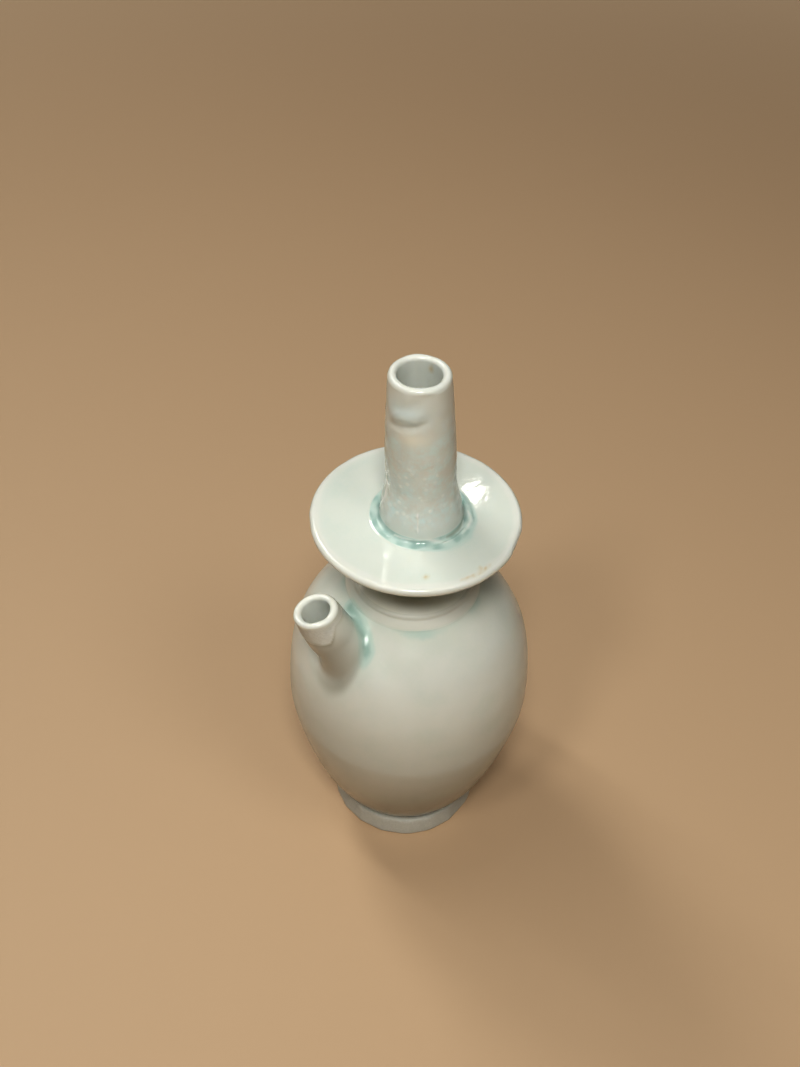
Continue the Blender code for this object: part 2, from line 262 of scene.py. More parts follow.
stretch("pool", free((POOL_INNER_RADIUS, DISC_TOP), *FOOT_CURVE, tube_foot, 7))
stretch("tube", free(tube_foot, *WAIST_CURVE, tube_waist, 38),
        free(tube_waist, *TAPER_CURVE, (TUBE_TOP_RADIUS, TUBE_TOP), 64))
stretch("lip", arc((TUBE_TOP_RADIUS - LIP, TUBE_TOP), LIP, 0, 180, 14))
stretch("bore", straight((MOUTH_BORE_RADIUS, TUBE_TOP), (NECK_BORE_RADIUS, TUBE_WAIST), 18),
        straight((NECK_BORE_RADIUS, TUBE_WAIST), (NECK_BORE_RADIUS, COLLAR_TOP), 10))
stretch("hollow", eased((NECK_BORE_RADIUS, COLLAR_TOP), (NECK_BORE_RADIUS, roof), (NECK_RADIUS, roof), 4),
        eased((NECK_RADIUS, roof), (COLLAR_TOP_RADIUS - WALL, roof), inner_body[-1], 4), inner_wall,
        eased(wall_foot, (wall_foot[0] - WALL, FLOOR_THICKNESS), floor_edge, 4),
        straight(floor_edge, (POLE_RADIUS, FLOOR_THICKNESS), 3))
profile = np.array(profile)
places = np.array(places)
print(len(profile), "rings in", len(set(places)), "places")

# %% [markdown]
# ## Turning the rings
# The tube was stuck on slightly off centre and leans a little, so each ring has its own small shift. It is
# zero on the body and the disc, and grows where the disc meets the tube. Small faults like this one make a
# thrown pot look made by hand.

# %% Rings to points
SEGMENTS = 200
TUBE_FOOT_SHIFT = 0.9
TUBE_TOP_SHIFT = -0.4
SHIFT_FADE = (13.0, 9.6)


def smooth(value, low, high):
    share = np.clip((value - low) / (high - low), 0.0, 1.0)
    return share * share * (3 - 2 * share)


def ring_shift(place, radius, height):
    along = (height - DISC_TOP) / (TUBE_TOP - DISC_TOP)
    leaning = TUBE_FOOT_SHIFT + (TUBE_TOP_SHIFT - TUBE_FOOT_SHIFT) * along
    if place in ("tube", "lip"):
        return leaning
    if place in ("disc_top", "pool"):
        return TUBE_FOOT_SHIFT * smooth(radius, *SHIFT_FADE)
    if place == "bore":
        return leaning * smooth(height, neck_end, DISC_TOP + 1.0)
    return 0.0


shifts = np.array([ring_shift(*row) for row in zip(places, profile[:, 0], profile[:, 1])])
angles = np.radians(np.arange(SEGMENTS) * 360.0 / SEGMENTS)
lean_x, lean_y = cos(radians(FRONT_TURN_DEG)), sin(radians(FRONT_TURN_DEG))
lattice = np.empty((len(profile), SEGMENTS, 3))
lattice[:, :, 0] = profile[:, :1] * np.cos(angles) + shifts[:, None] * lean_x
lattice[:, :, 1] = profile[:, :1] * np.sin(angles) + shifts[:, None] * lean_y
lattice[:, :, 2] = profile[:, 1:]
print("turned points:", lattice.shape[0] * lattice.shape[1])

# %% [markdown]
# The pool of glaze round the tube ends in a rounded edge no wider than a pencil line. Even rings would
# need to be very close together to show it. So the rings here are moved to follow the edge as it wanders,
# close together on it and wider apart beside it.

# %% Rings that follow the pool's edge
RIDGE_RADIUS = [(-170, 8.99), (-155, 9.11), (-141, 9.13), (-131, 9.0), (-122, 8.85), (-113, 8.62),
                (-105, 8.42), (-98, 8.36), (-88, 8.44), (-75, 8.42), (-66, 8.4), (-58, 8.5), (-46, 8.75),
                (-36, 8.6), (-20, 8.4), (0, 8.45), (40, 8.6), (100, 8.7), (150, 8.8), (161, 8.85),
                (176, 8.93)]
EDGE_MARKS = (0.0, 0.2, 0.8, 1.0)
OUTSIDE_EDGE = 0.5
INSIDE_EDGE = 0.26


def round_table(turn_degrees, table):
    """A value that changes round the pot, read from a few (angle, value) pairs."""
    turns, values = np.array(sorted(table)).T
    return np.interp(turn_degrees, turns, values, period=360.0)


def ridge_line(turn_degrees):
    """The pool's radius round the tube's axis, in each direction."""
    turned = np.radians(turn_degrees)
    wander = 0.02 * np.sin(7 * turned + 1.0) + 0.015 * np.sin(17 * turned + 2.0)
    return round_table(turn_degrees, RIDGE_RADIUS) + wander


ridge_here = ridge_line(np.degrees(angles))
edge_stops = np.stack([POOL_OUTER_RADIUS + 0 * angles, ridge_here + OUTSIDE_EDGE, ridge_here - INSIDE_EDGE,
                       POOL_INNER_RADIUS + 0 * angles], 1)
for number, ring in enumerate(np.flatnonzero(places == "pool")[:POOL_RINGS - 1]):
    share = (number + 1) / POOL_RINGS
    ring_radius = np.array([np.interp(share, EDGE_MARKS, stops) for stops in edge_stops])
    lattice[ring, :, 0] = ring_radius * np.cos(angles) + TUBE_FOOT_SHIFT * lean_x
    lattice[ring, :, 1] = ring_radius * np.sin(angles) + TUBE_FOOT_SHIFT * lean_y
print("pool's edge", ridge_here.min().round(2), "to", ridge_here.max().round(2), "mm from the tube's axis")

# %% [markdown]
# ## The side spout's own frame
# The spout was rolled or thrown apart, cut at a slant and luted to the shoulder. It has an axis of its own,
# which rises outwards at about 70 degrees. We describe it from its mouth down, by a radius at each depth.

# %% Spout frame and radius
SPOUT_ROOT_HEIGHT = 58.5
SPOUT_LENGTH = 11.4
SPOUT_RISE_DEG = 69.8
SPOUT_SIDE_LEAN_DEG = 6.5
SPOUT_MOUTH_TILT_DEG = 10.5
SPOUT_BORE_RADIUS = 2.5
SPOUT_MOUTH_RADIUS = 4.0
SPOUT_WAIST_RADIUS = 4.4
SPOUT_ROOT_RADIUS = 6.0
SPOUT_WAIST_DEPTH = 7.4
SPOUT_DEPTH = 17.0

rise = radians(SPOUT_RISE_DEG)
outwards = Vector((-sin(rise), 0.0, -cos(rise)))
upright = Vector((-cos(rise), 0.0, sin(rise)))
along = Matrix.Rotation(radians(SPOUT_SIDE_LEAN_DEG), 3, outwards) @ upright
root_radius = np.interp(SPOUT_ROOT_HEIGHT, upper_body[:, 1], upper_body[:, 0])
root_aside = -SPOUT_LENGTH * along.y
root = Vector((-sqrt(root_radius ** 2 - root_aside ** 2), root_aside, SPOUT_ROOT_HEIGHT))
mouth = np.array(root + SPOUT_LENGTH * along)
spout_axes = np.array([outwards, along.cross(outwards), along])


def spout_radius(depth):
    flare = np.clip((depth - SPOUT_WAIST_DEPTH) / (SPOUT_DEPTH - SPOUT_WAIST_DEPTH), 0.0, 1.3)
    waist = (SPOUT_WAIST_RADIUS - SPOUT_MOUTH_RADIUS) * smooth(depth, 0.0, SPOUT_WAIST_DEPTH)
    return SPOUT_MOUTH_RADIUS + waist + (SPOUT_ROOT_RADIUS - SPOUT_WAIST_RADIUS) * flare ** 1.6


def in_spout_frame(points):
    return (points - mouth) @ spout_axes.T


def from_spout_frame(local):
    return mouth + local @ spout_axes


print("spout mouth at", mouth.round(2), "root at", [round(v, 2) for v in root])

# %% [markdown]
# ## Joining spout and body
# Where two pieces of wet clay are luted together, a finger smooths the seam into a soft fillet, and the
# glaze fills it further. A Boolean union would leave a hard crease with thin triangles. Instead we measure
# how far a point is from the body and from the spout, blend the two distances, and slide a net of points
# onto the place where the blend is zero. That surface is the fillet. The spout's foot was pushed a little
# to one side as it was luted on, so its axis bends there.

# %% Distances to the body and to the spout
SWAY_DEPTHS = (7.0, 12.0)
SWAY_TURN_DEG = 160.0
FOOT_SWAY = 0.65
SMALL_STEP = 0.02
LEAST_SLOPE = 0.2


def outline_distance(points, outline):
    """Signed distance in the half-plane of radius and height, positive outside the outline."""
    flat = np.stack([np.hypot(points[:, 0], points[:, 1]), points[:, 2]], 1)
    start, step = outline[:-1], np.diff(outline, axis=0)
    share = ((flat[:, None] - start) * step).sum(2) / (step ** 2).sum(1)
    nearest = start + np.clip(share, 0.0, 1.0)[..., None] * step
    gap = np.linalg.norm(flat[:, None] - nearest, axis=2).min(1)
    wall = np.interp(flat[:, 1], outline[:, 1], outline[:, 0])
    return np.where(flat[:, 0] > wall, gap, -gap)


def spout_distance(points, radius_at, sway=0.0):
    x, y, up = in_spout_frame(points).T
    bend = sway * smooth(-up, *SWAY_DEPTHS)
    turned = radians(SWAY_TURN_DEG)
    return np.hypot(x - bend * cos(turned), y - bend * sin(turned)) - radius_at(-up)


def blended_distance(points, outline, radius_at, softness_at, sway=0.0):
    body, spout = outline_distance(points, outline), spout_distance(points, radius_at, sway)
    softness = softness_at(points)
    share = np.clip(0.5 + (spout - body) / (2 * softness), 0.0, 1.0)
    return spout * (1 - share) + body * share - softness * share * (1 - share)


def settle(points, distance, rounds):
    """Slide points onto the surface where the distance is zero."""
    for _ in range(rounds):
        here = distance(points)
        pairs = [distance(points + step) - distance(points - step) for step in SMALL_STEP * np.eye(3)]
        slope = np.stack(pairs, 1) / (2 * SMALL_STEP)
        points = points - (here / np.maximum((slope ** 2).sum(1), LEAST_SLOPE))[:, None] * slope
    return points


print("spout's foot sways", FOOT_SWAY, "mm")

# %% [markdown]
# A patch of the ring table is left open where the spout stands, on the outside and on the inside. The
# patch's edge and the spout's ring have the same number of points, so the net between them is made of
# rows and columns only, and the seam shades smoothly.

# %% Open patch in the wall
PATCH_HALF_WIDTH_DEG = 34.0
PATCH_LOW = 47.0
SPOUT_AZIMUTH_DEG = 184.0
column_step = 360.0 / SEGMENTS
first_column = int(round((SPOUT_AZIMUTH_DEG - PATCH_HALF_WIDTH_DEG) / column_step))
last_column = int(round((SPOUT_AZIMUTH_DEG + PATCH_HALF_WIDTH_DEG) / column_step))
body_rows = np.flatnonzero(places == "body")
low_row = int(body_rows[profile[body_rows, 1] > PATCH_LOW][0])
high_row = int(body_rows[-1])
hollow_top = int(np.flatnonzero((places == "hollow") & (profile[:, 1] <= inner_body[-1][1] + 0.001))[0])
inner_low_row = hollow_top + (high_row - low_row)


def patch_edge(row_from, row_to):
    """Lattice numbers round a patch, starting at its first row and first column."""
    down = 1 if row_to > row_from else -1
    side = [(row_from, column) for column in range(first_column, last_column)]
    side += [(row, last_column) for row in range(row_from, row_to, down)]
    side += [(row_to, column) for column in range(last_column, first_column, -1)]
    side += [(row, first_column) for row in range(row_to, row_from, -down)]
    return np.array([row * SEGMENTS + column for row, column in side])


outer_edge = patch_edge(low_row, high_row)
inner_edge = patch_edge(inner_low_row, hollow_top)
print("patch:", high_row - low_row, "rows,", last_column - first_column, "columns")

# %% [markdown]
# The spout is a stack of rings in its own frame, tilted towards the mouth, which was cut at a slant. Each
# ring has as many points as the patch has round its edge. Near the body they keep the patch's uneven
# spacing, and by the mouth they are evenly spaced.

# %% Rings round the spout
flat_points = lattice.reshape(-1, 3)
edge_local = in_spout_frame(flat_points[outer_edge])
edge_turn = np.unwrap(np.arctan2(edge_local[:, 1], edge_local[:, 0]))
turn_sign = np.sign(edge_turn[-1] - edge_turn[0])
even_turn = edge_turn.mean() + turn_sign * 2 * np.pi * (np.arange(len(edge_turn)) / len(edge_turn) - 0.5)
even_turn += (edge_turn - even_turn).mean()


def spout_ring(radius, height, evenness):
    turns = edge_turn * (1 - evenness) + even_turn * evenness
    x, y = radius * np.cos(turns), radius * np.sin(turns)
    level = tan(radians(SPOUT_MOUTH_TILT_DEG)) * np.clip(1 + height / SPOUT_WAIST_DEPTH, 0.0, 1.0)
    return from_spout_frame(np.stack([x, y, height + level * x], 1))


print("points in each ring:", len(edge_turn))

# %% [markdown]
# The net behaves like an elastic one: each point moves to the middle of its neighbours and slides back onto
# the blended surface, a few times over. The seam is tight under the spout and filled with glaze on the side
# of the collar, so the blend's softness changes round the spout.

# %% Nets between the wall and the spout
NET_ROWS = 34
INNER_NET_ROWS = 8
NET_DEPTH = 6.6
INNER_NET_DEPTH = 9.5
NET_EVENNESS = 0.6
RELAX_ROUNDS = 24
INNER_SOFTNESS = 1.0
TIGHT_SOFTNESS = 0.5
POOL_SOFTNESS = 1.2
TIGHT_TURN_DEG = 25.0
TIGHT_REACH_DEG = (50.0, 130.0)
outer_outline = profile[(places == "body") | (places == "collar") | (places == "crown")]
inner_outline = profile[places == "hollow"][8:-6][::-1]


def angle_between(first, second):
    return (first - second + 180.0) % 360.0 - 180.0


def net(edge_points, ring_points, distance, rows):
    """Rows of points between a patch's edge and a spout's ring, settled on the blended surface."""
    share = np.linspace(0.0, 1.0, rows + 1)[:, None, None]
    grid = edge_points * (1 - share) + ring_points * share
    for last in [False] * RELAX_ROUNDS + [True]:
        if not last:
            around = np.roll(grid, 1, axis=1) + np.roll(grid, -1, axis=1)
            grid[1:-1] = (grid[2:] + grid[:-2] + around[1:-1]) / 4
        grid[1:-1] = settle(grid[1:-1].reshape(-1, 3), distance, 4 if last else 1).reshape(grid[1:-1].shape)
    return grid


def outer_softness(points):
    local = in_spout_frame(points)
    away = np.abs(angle_between(np.degrees(np.arctan2(local[:, 1], local[:, 0])), TIGHT_TURN_DEG))
    return TIGHT_SOFTNESS + (POOL_SOFTNESS - TIGHT_SOFTNESS) * smooth(away, *TIGHT_REACH_DEG)


def outer_surface(points):
    return blended_distance(points, outer_outline, spout_radius, outer_softness, FOOT_SWAY)


def inner_surface(points):
    return blended_distance(points, inner_outline, lambda depth: SPOUT_BORE_RADIUS, lambda at: INNER_SOFTNESS)


outer_ring = spout_ring(spout_radius(NET_DEPTH), -NET_DEPTH, NET_EVENNESS)
inner_ring = spout_ring(SPOUT_BORE_RADIUS, -INNER_NET_DEPTH, NET_EVENNESS)
outer_net = net(flat_points[outer_edge], outer_ring, outer_surface, NET_ROWS)
inner_net = net(flat_points[inner_edge], inner_ring, inner_surface, INNER_NET_ROWS)
print("nets of", len(outer_net), "and", len(inner_net), "rows")

# %% [markdown]
# Above the net the rings climb the spout, roll over its lip and go down the bore to the inner net. Put one
# after the other, they are a table like the first one.

# %% Rows of the spout
WALL_RINGS = 13
LIP_RINGS = 12
BORE_RINGS = 10
spout_lip = (SPOUT_MOUTH_RADIUS - SPOUT_BORE_RADIUS) / 2


def evenness_at(height, net_depth):
    return 1 - (1 - NET_EVENNESS) * (height + spout_lip) / (spout_lip - net_depth)


spout_rows = list(outer_net[1:])
for height in np.linspace(-NET_DEPTH, -spout_lip, WALL_RINGS + 1)[1:]:
    spout_rows.append(spout_ring(spout_radius(-height), height, evenness_at(height, NET_DEPTH)))
for radius, height in arc((SPOUT_MOUTH_RADIUS - spout_lip, -spout_lip), spout_lip, 0, 180, LIP_RINGS)[1:]:
    spout_rows.append(spout_ring(radius, height, 1.0))
for height in np.linspace(-spout_lip, -INNER_NET_DEPTH, BORE_RINGS + 2)[1:-1]:
    spout_rows.append(spout_ring(SPOUT_BORE_RADIUS, height, evenness_at(height, INNER_NET_DEPTH)))
spout_rows = np.array(spout_rows + list(inner_net[:0:-1]))
print("spout:", spout_rows.shape[0], "rows of", spout_rows.shape[1])

# %% [markdown]
# ## One closed skin
# Now the points become one mesh. Every cell of the ring table is a face, apart from the two open patches.
# The spout's rows close those patches, and a fan of triangles closes the middle of the underside and of
# the floor. The result has no holes and no loose faces, as a real vessel has one skin.


# %% Faces of the skin
def strip(lower, upper):
    """Faces between two closed rows of point numbers."""
    return np.stack([lower, np.roll(lower, -1), np.roll(upper, -1), upper], 1)


rows, columns = np.meshgrid(np.arange(len(profile) - 1), np.arange(SEGMENTS), indexing="ij")
open_columns = (columns >= first_column) & (columns < last_column)
open_rows = ((rows >= low_row) & (rows < high_row)) | ((rows >= hollow_top) & (rows < inner_low_row))
kept = ~(open_columns & open_rows)
here = rows * SEGMENTS + columns
beside = rows * SEGMENTS + (columns + 1) % SEGMENTS
faces = np.stack([here, beside, beside + SEGMENTS, here + SEGMENTS], 2)[kept]

used = np.zeros(len(flat_points), bool)
used[faces.ravel()] = True
spout_start = len(flat_points)
spout_numbers = spout_start + np.arange(spout_rows.size // 3).reshape(spout_rows.shape[:2])
seam = [outer_edge] + list(spout_numbers) + [inner_edge]
spout_faces = np.vstack([strip(lower, upper) for lower, upper in zip(seam[:-1], seam[1:])])
poles = np.array([[0.0, 0.0, profile[0, 1]], [0.0, 0.0, profile[-1, 1]]])
points = np.vstack([flat_points, spout_rows.reshape(-1, 3), poles])
under_pole, floor_pole = len(points) - 2, len(points) - 1
first_ring = np.arange(SEGMENTS)
last_ring = first_ring + (len(profile) - 1) * SEGMENTS
under_fan = [(int(a), int(b), under_pole) for a, b in zip(np.roll(first_ring, -1), first_ring)]
floor_fan = [(int(a), int(b), floor_pole) for a, b in zip(last_ring, np.roll(last_ring, -1))]

used = np.concatenate([used, np.ones(len(points) - len(used), bool)])
renumber = np.cumsum(used) - 1
closed = np.vstack([faces, spout_faces]).tolist() + under_fan + floor_fan
all_faces = [[int(renumber[v]) for v in face] for face in closed]
points = points[used]
print(len(points), "points,", len(all_faces), "faces")

# %% [markdown]
# ## Where each point lies
# Relief and colour follow the pot's own places, so every point gets its place on the profile, its direction
# round the body, its distance from the tube's leaning axis, and its position in the spout's frame. Names like
# these keep the later steps short.

# %% Coordinates for relief and colour
ring_places = np.repeat(places, SEGMENTS)
spout_places = np.full(spout_rows.size // 3, "spout", ring_places.dtype)
row_number = np.repeat(np.arange(len(spout_rows)), spout_rows.shape[1])
lip_start = NET_ROWS + WALL_RINGS
bore_start = lip_start + LIP_RINGS
spout_places[(row_number >= lip_start) & (row_number < bore_start)] = "spout_lip"
spout_places[row_number >= bore_start] = "spout_bore"
spout_places[row_number >= bore_start + BORE_RINGS] = "hollow"
place = np.concatenate([ring_places, spout_places, ["underside", "hollow"]])[used]

height = points[:, 2]
radius = np.hypot(points[:, 0], points[:, 1])
azimuth = np.degrees(np.arctan2(points[:, 1], points[:, 0]))
tube_share = np.clip((height - DISC_TOP) / (TUBE_TOP - DISC_TOP), 0.0, 1.0)
tube_lean = TUBE_FOOT_SHIFT + (TUBE_TOP_SHIFT - TUBE_FOOT_SHIFT) * tube_share
tube_x = points[:, 0] - tube_lean * lean_x
tube_y = points[:, 1] - tube_lean * lean_y
tube_radius = np.hypot(tube_x, tube_y)
tube_azimuth = np.degrees(np.arctan2(tube_y, tube_x))
local = in_spout_frame(points)
spout_turn = np.degrees(np.arctan2(local[:, 1], local[:, 0]))
spout_depth = tan(radians(SPOUT_MOUTH_TILT_DEG)) * local[:, 0] - local[:, 2]
spout_gap = np.hypot(local[:, 0], local[:, 1]) - spout_radius(-local[:, 2])


def on(*names):
    return np.isin(place, names).astype(float)


FILLET_FADE = (0.4, 2.4)
BELOW_SPOUT = 45.0
joined = on("body", "spout")
on_body = joined * np.where(height > BELOW_SPOUT, smooth(spout_gap, *FILLET_FADE), 1.0)
on_spout = joined - on_body + on("spout_lip")
print({str(name): int((place == name).sum()) for name in np.unique(place)})

# %% [markdown]
# ## Small irregularities
# Nothing on a hand-made pot is quite even. A few dozen waves with fixed random directions, added together,
# give a soft lumpy field of any size we like, the same on every run. Blender's noise textures could
# displace the mesh too, but then the relief would be hard to measure.


# %% Waves for small irregularities
def lumps(where, size, seed, waves=20):
    """A smooth random field between about -1 and 1, with lumps of the given size."""
    random = np.random.default_rng(seed)
    directions = random.normal(size=(waves, 3))
    directions /= np.linalg.norm(directions, axis=1, keepdims=True)
    phases = random.uniform(0, 2 * np.pi, waves)
    total = np.zeros(len(where))
    for direction, phase in zip(directions, phases):
        total += np.sin(where @ direction * 2 * np.pi / size + phase)
    return np.clip(total / sqrt(waves), -1.5, 1.5)


def round_the(turn_degrees, size_degrees, seed):
    """The same field on a circle, for edges that wander as they go round."""
    angle = np.radians(turn_degrees)
    circle = np.stack([np.cos(angle), np.sin(angle), 0 * angle], 1)
    return lumps(circle, radians(size_degrees), seed)


skin_lumps = lumps(points, 5.0, 13)
print("lumps run from", skin_lumps.min().round(2), "to", skin_lumps.max().round(2))

# %% [markdown]
# A mark on the pot has soft edges, so each one is a bell curve of a distance: from a height, a direction, a
# spot, or a path that gets narrower or wider on its way. They could be painted on the mesh by hand, but
# numbers can be moved and run again.


# %% Soft-edged marks
def bell(value, width):
    return np.exp(-(value / width) ** 2)


def near_spot(spot, size):
    return bell(np.linalg.norm(points - np.array(spot), axis=1), size)


def near_path(path):
    """How near each point is to a path of (x, y, z, width) rows."""
    nearness = np.zeros(len(points))
    for start, step in zip(np.array(path), np.diff(path, axis=0)):
        share = np.clip((points - start[:3]) @ step[:3] / (step[:3] @ step[:3]), 0.0, 1.0)
        gap = np.linalg.norm(points - start[:3] - share[:, None] * step[:3], axis=1)
        nearness = np.maximum(nearness, bell(gap, start[3] + step[3] * share))
    return nearness


def tube_side(direction, width):
    return bell(angle_between(tube_azimuth, direction), width)


print("at its own width a mark still has", round(float(bell(1.0, 1.0)), 2), "of its strength")

# %% [markdown]
# Relief moves a point straight out of the surface. The surface's direction there is the sum of the
# directions of the faces round it, the large faces counting for more.

# %% Direction of the surface at each point
quads = np.array([face + face[-1:] if len(face) == 3 else face for face in all_faces])
ends = points[quads]
across = np.cross(ends[:, 2] - ends[:, 0], ends[:, 3] - ends[:, 1])
triangle = quads[:, 2] == quads[:, 3]
across[triangle] = np.cross(ends[triangle, 1] - ends[triangle, 0], ends[triangle, 2] - ends[triangle, 0])
normals = np.zeros_like(points)
for corner in range(4):
    np.add.at(normals, quads[:, corner], across)
normals /= np.linalg.norm(normals, axis=1, keepdims=True)
print("normals point out on the belly:", bool((on("body") * (normals * points).sum(1)).sum() > 0))

# %% [markdown]
# ## The knife and the fingers
# The foot was trimmed with a knife, which left flats a few millimetres wide. The disc's edge was pinched
# and is not quite round: it has a flatter stretch on the right and a faint corner on the left. A flat is
# cut by keeping each point on the near side of a straight line, as the blade does.

# %% Flats on the foot and the disc's edge
FOOT_FLATS = 19
FOOT_FLAT_DEPTH = (0.08, 0.34)
FLAT_REACH = 0.6
RIM_FLATS = [(-56.0, 0.26), (151.0, 0.12), (98.0, 0.08), (20.0, 0.06)]


def cut_flats(outer_radius, flats):
    """How far each point moves in when flats are cut at the given directions and depths."""
    limit = np.full(len(points), 1e3)
    for direction, depth in flats:
        offset = np.radians(angle_between(azimuth, direction))
        facing = np.abs(offset) < FLAT_REACH
        limit[facing] = np.minimum(limit[facing], (outer_radius - depth) / np.cos(offset[facing]))
    return np.maximum(0.0, outer_radius - limit)


random_flats = np.random.default_rng(7)
flat_turns = np.arange(FOOT_FLATS) * 360.0 / FOOT_FLATS + random_flats.uniform(-6, 6, FOOT_FLATS)
foot_flats = list(zip(flat_turns, random_flats.uniform(*FOOT_FLAT_DEPTH, FOOT_FLATS)))
foot_weight = on("foot") * smooth(height, 4.55, 3.6)
foot_weight += on("underside") * smooth(radius, FOOT_RADIUS - 2.5, FOOT_RADIUS - 0.6)
rim_weight = on("rim", "disc_top", "disc_under") * smooth(radius, 15.2, 17.4)
inwards = foot_weight * cut_flats(FOOT_RADIUS, foot_flats) + rim_weight * cut_flats(DISC_RADIUS, RIM_FLATS)
direction_out = np.stack([points[:, 0], points[:, 1], 0 * radius], 1) / np.maximum(radius, 0.1)[:, None]
moved = -direction_out * inwards[:, None]
print("deepest flat", round(float(inwards.max()), 2), "mm")

# %% [markdown]
# ## Throwing lines and wobble
# Fingers leave faint rings as they climb the spinning clay. On this pot they are only a few hundredths of a
# millimetre deep under the glaze, just enough to bend a reflection. The belly wobbles a little more, and the
# collar's wall swells softly.

# %% Throwing lines
THROWING_DEPTH = 0.022
WOBBLE = 0.07
SKIN_WAVE = 0.012
LESS_ON_DISC = 0.011
COLLAR_SWELL = 0.10
outside = 1.0 - on("bore", "hollow", "spout_bore", "underside")
rings_up = np.stack([2.0 * np.cos(np.radians(azimuth)), 2.0 * np.sin(np.radians(azimuth)), height * 2.2], 1)
relief = THROWING_DEPTH * on_body * lumps(rings_up, 9.0, 11)
belly_weight = on_body * smooth(height, 4.6, 14.0) * smooth(height, 61.0, 50.0)
relief += WOBBLE * belly_weight * (lumps(points, 38.0, 12) - 1.2)
relief += (SKIN_WAVE - LESS_ON_DISC * on("disc_top", "pool")) * outside * skin_lumps
relief += COLLAR_SWELL * on("collar") * bell(height - SHOULDER_HEIGHT - 1.0, 0.7)
print("wobble", round(float(relief.min()), 3), "to", round(float(relief.max()), 3), "mm")

# %% [markdown]
# ## The pool round the tube
# Glaze ran down the tube and stood in the corner above the disc, where it froze as a thick turquoise
# ring. Its outer edge is a rounded ridge that catches the light on the left and in front. On the right the
# ridge wanders in towards the tube and gets lumpy, and the colour spreads past it.

# %% Relief of the pool
RIDGE_HEIGHT = 0.118
RIDGE_WIDTH = 0.30
POOL_DEPTH = 0.06
around_tube = on("pool", "disc_top")
ridge_radius = ridge_line(tube_azimuth)
right_side = tube_side(-68.0, 42.0)
ridge_height = RIDGE_HEIGHT * (1 + right_side * (0.6 + 0.5 * round_the(tube_azimuth, 9.0, 23)))
meniscus = ridge_height * bell(tube_radius - ridge_radius, RIDGE_WIDTH * (1 + 0.5 * right_side))
meniscus += POOL_DEPTH * smooth(tube_radius, ridge_radius - 0.05, ridge_radius - 0.4)
relief += around_tube * meniscus
print("pool's edge up to", round(float((around_tube * meniscus).max()), 2), "mm high")

# %% [markdown]
# Thin pale lines lie on the pool, where glaze ran over glaze and froze: one along the tube's foot, a white
# lump in front, and a line and a broad run on the right. Each row of a path is a place and a width.

# %% Pale lines on the pool
INNER_LINE = [(-7.45, -1.91, 80.8, 0.14), (-6.48, -2.72, 81.17, 0.16), (-5.9, -4.09, 81.25, 0.16),
              (-4.73, -5.68, 81.43, 0.16), (-3.22, -6.83, 81.52, 0.16), (-2.47, -7.24, 81.5, 0.2),
              (-1.73, -7.68, 81.2, 0.22)]
WHITE_LUMP = [(-2.5, -7.3, 81.4, 0.22), (-1.75, -7.75, 81.2, 0.34), (-0.4, -8.65, 80.86, 0.24)]
RIGHT_LINE = [(-0.4, -8.7, 80.86, 0.2), (1.0, -9.0, 80.9, 0.16), (2.9, -8.63, 80.94, 0.16),
              (4.4, -7.4, 80.96, 0.18), (5.3, -6.5, 81.1, 0.14)]
RIGHT_RUN = [(7.6, -4.8, 80.8, 0.2), (7.2, -5.9, 80.8, 0.3), (6.6, -7.0, 80.8, 0.36),
             (5.1, -8.0, 80.85, 0.3), (3.4, -8.6, 80.88, 0.2)]
RUN_STRENGTH = 0.8
pale_line = np.maximum.reduce([near_path(line) for line in (INNER_LINE, WHITE_LUMP, RIGHT_LINE)])
pale_line = np.maximum(pale_line, RUN_STRENGTH * near_path(RIGHT_RUN)) * on("pool", "tube", "disc_top")
relief += pale_line * (0.035 + 0.03 * lumps(points, 1.1, 25))
print("pale lines on", int((pale_line > 0.5).sum()), "points")

# %% [markdown]
# ## The fold in the tube
# Near the top, the tube's clay was pressed and folded over a little. The fold is a dark curved line with
# a soft bulge above it, on the side that the photograph shows. Low on the left, the skin is streaky.

# %% Fold and streaks of the tube
FOLD_LINE = [(161.0, 102.9), (-174.0, 103.55), (-157.0, 103.9), (-144.0, 104.15), (-131.0, 104.55),
             (-119.0, 105.0), (-105.0, 105.3)]
FOLD_DEPTH = 0.24
FOLD_BULGE = 0.26
FOLD_MIDDLE_DEG = -153.0
STREAK_MIDDLE_DEG = 166.0
fold_height = round_table(tube_azimuth, FOLD_LINE)
fold_weight = smooth(np.abs(angle_between(tube_azimuth, FOLD_MIDDLE_DEG)), 50.0, 12.0) * on("tube")
relief -= FOLD_DEPTH * fold_weight * bell(height - fold_height, 0.75)
relief += FOLD_BULGE * fold_weight * bell(height - fold_height - 2.0, 1.4)
streaks = smooth(np.abs(angle_between(tube_azimuth, STREAK_MIDDLE_DEG)), 20.0, 6.0)
streaks *= smooth(height, 96.0, 92.0)
relief += 0.09 * on("tube") * streaks * lumps(points * (1.0, 1.0, 0.45), 1.5, 32)
relief += 0.03 * on("tube", "bore") * lumps(points, 3.0, 31)
relief += on("lip") * (0.05 * round_the(tube_azimuth, 55.0, 33) - 0.05)
print("fold", FOLD_DEPTH, "mm deep, at heights", fold_height.min().round(1), fold_height.max().round(1))
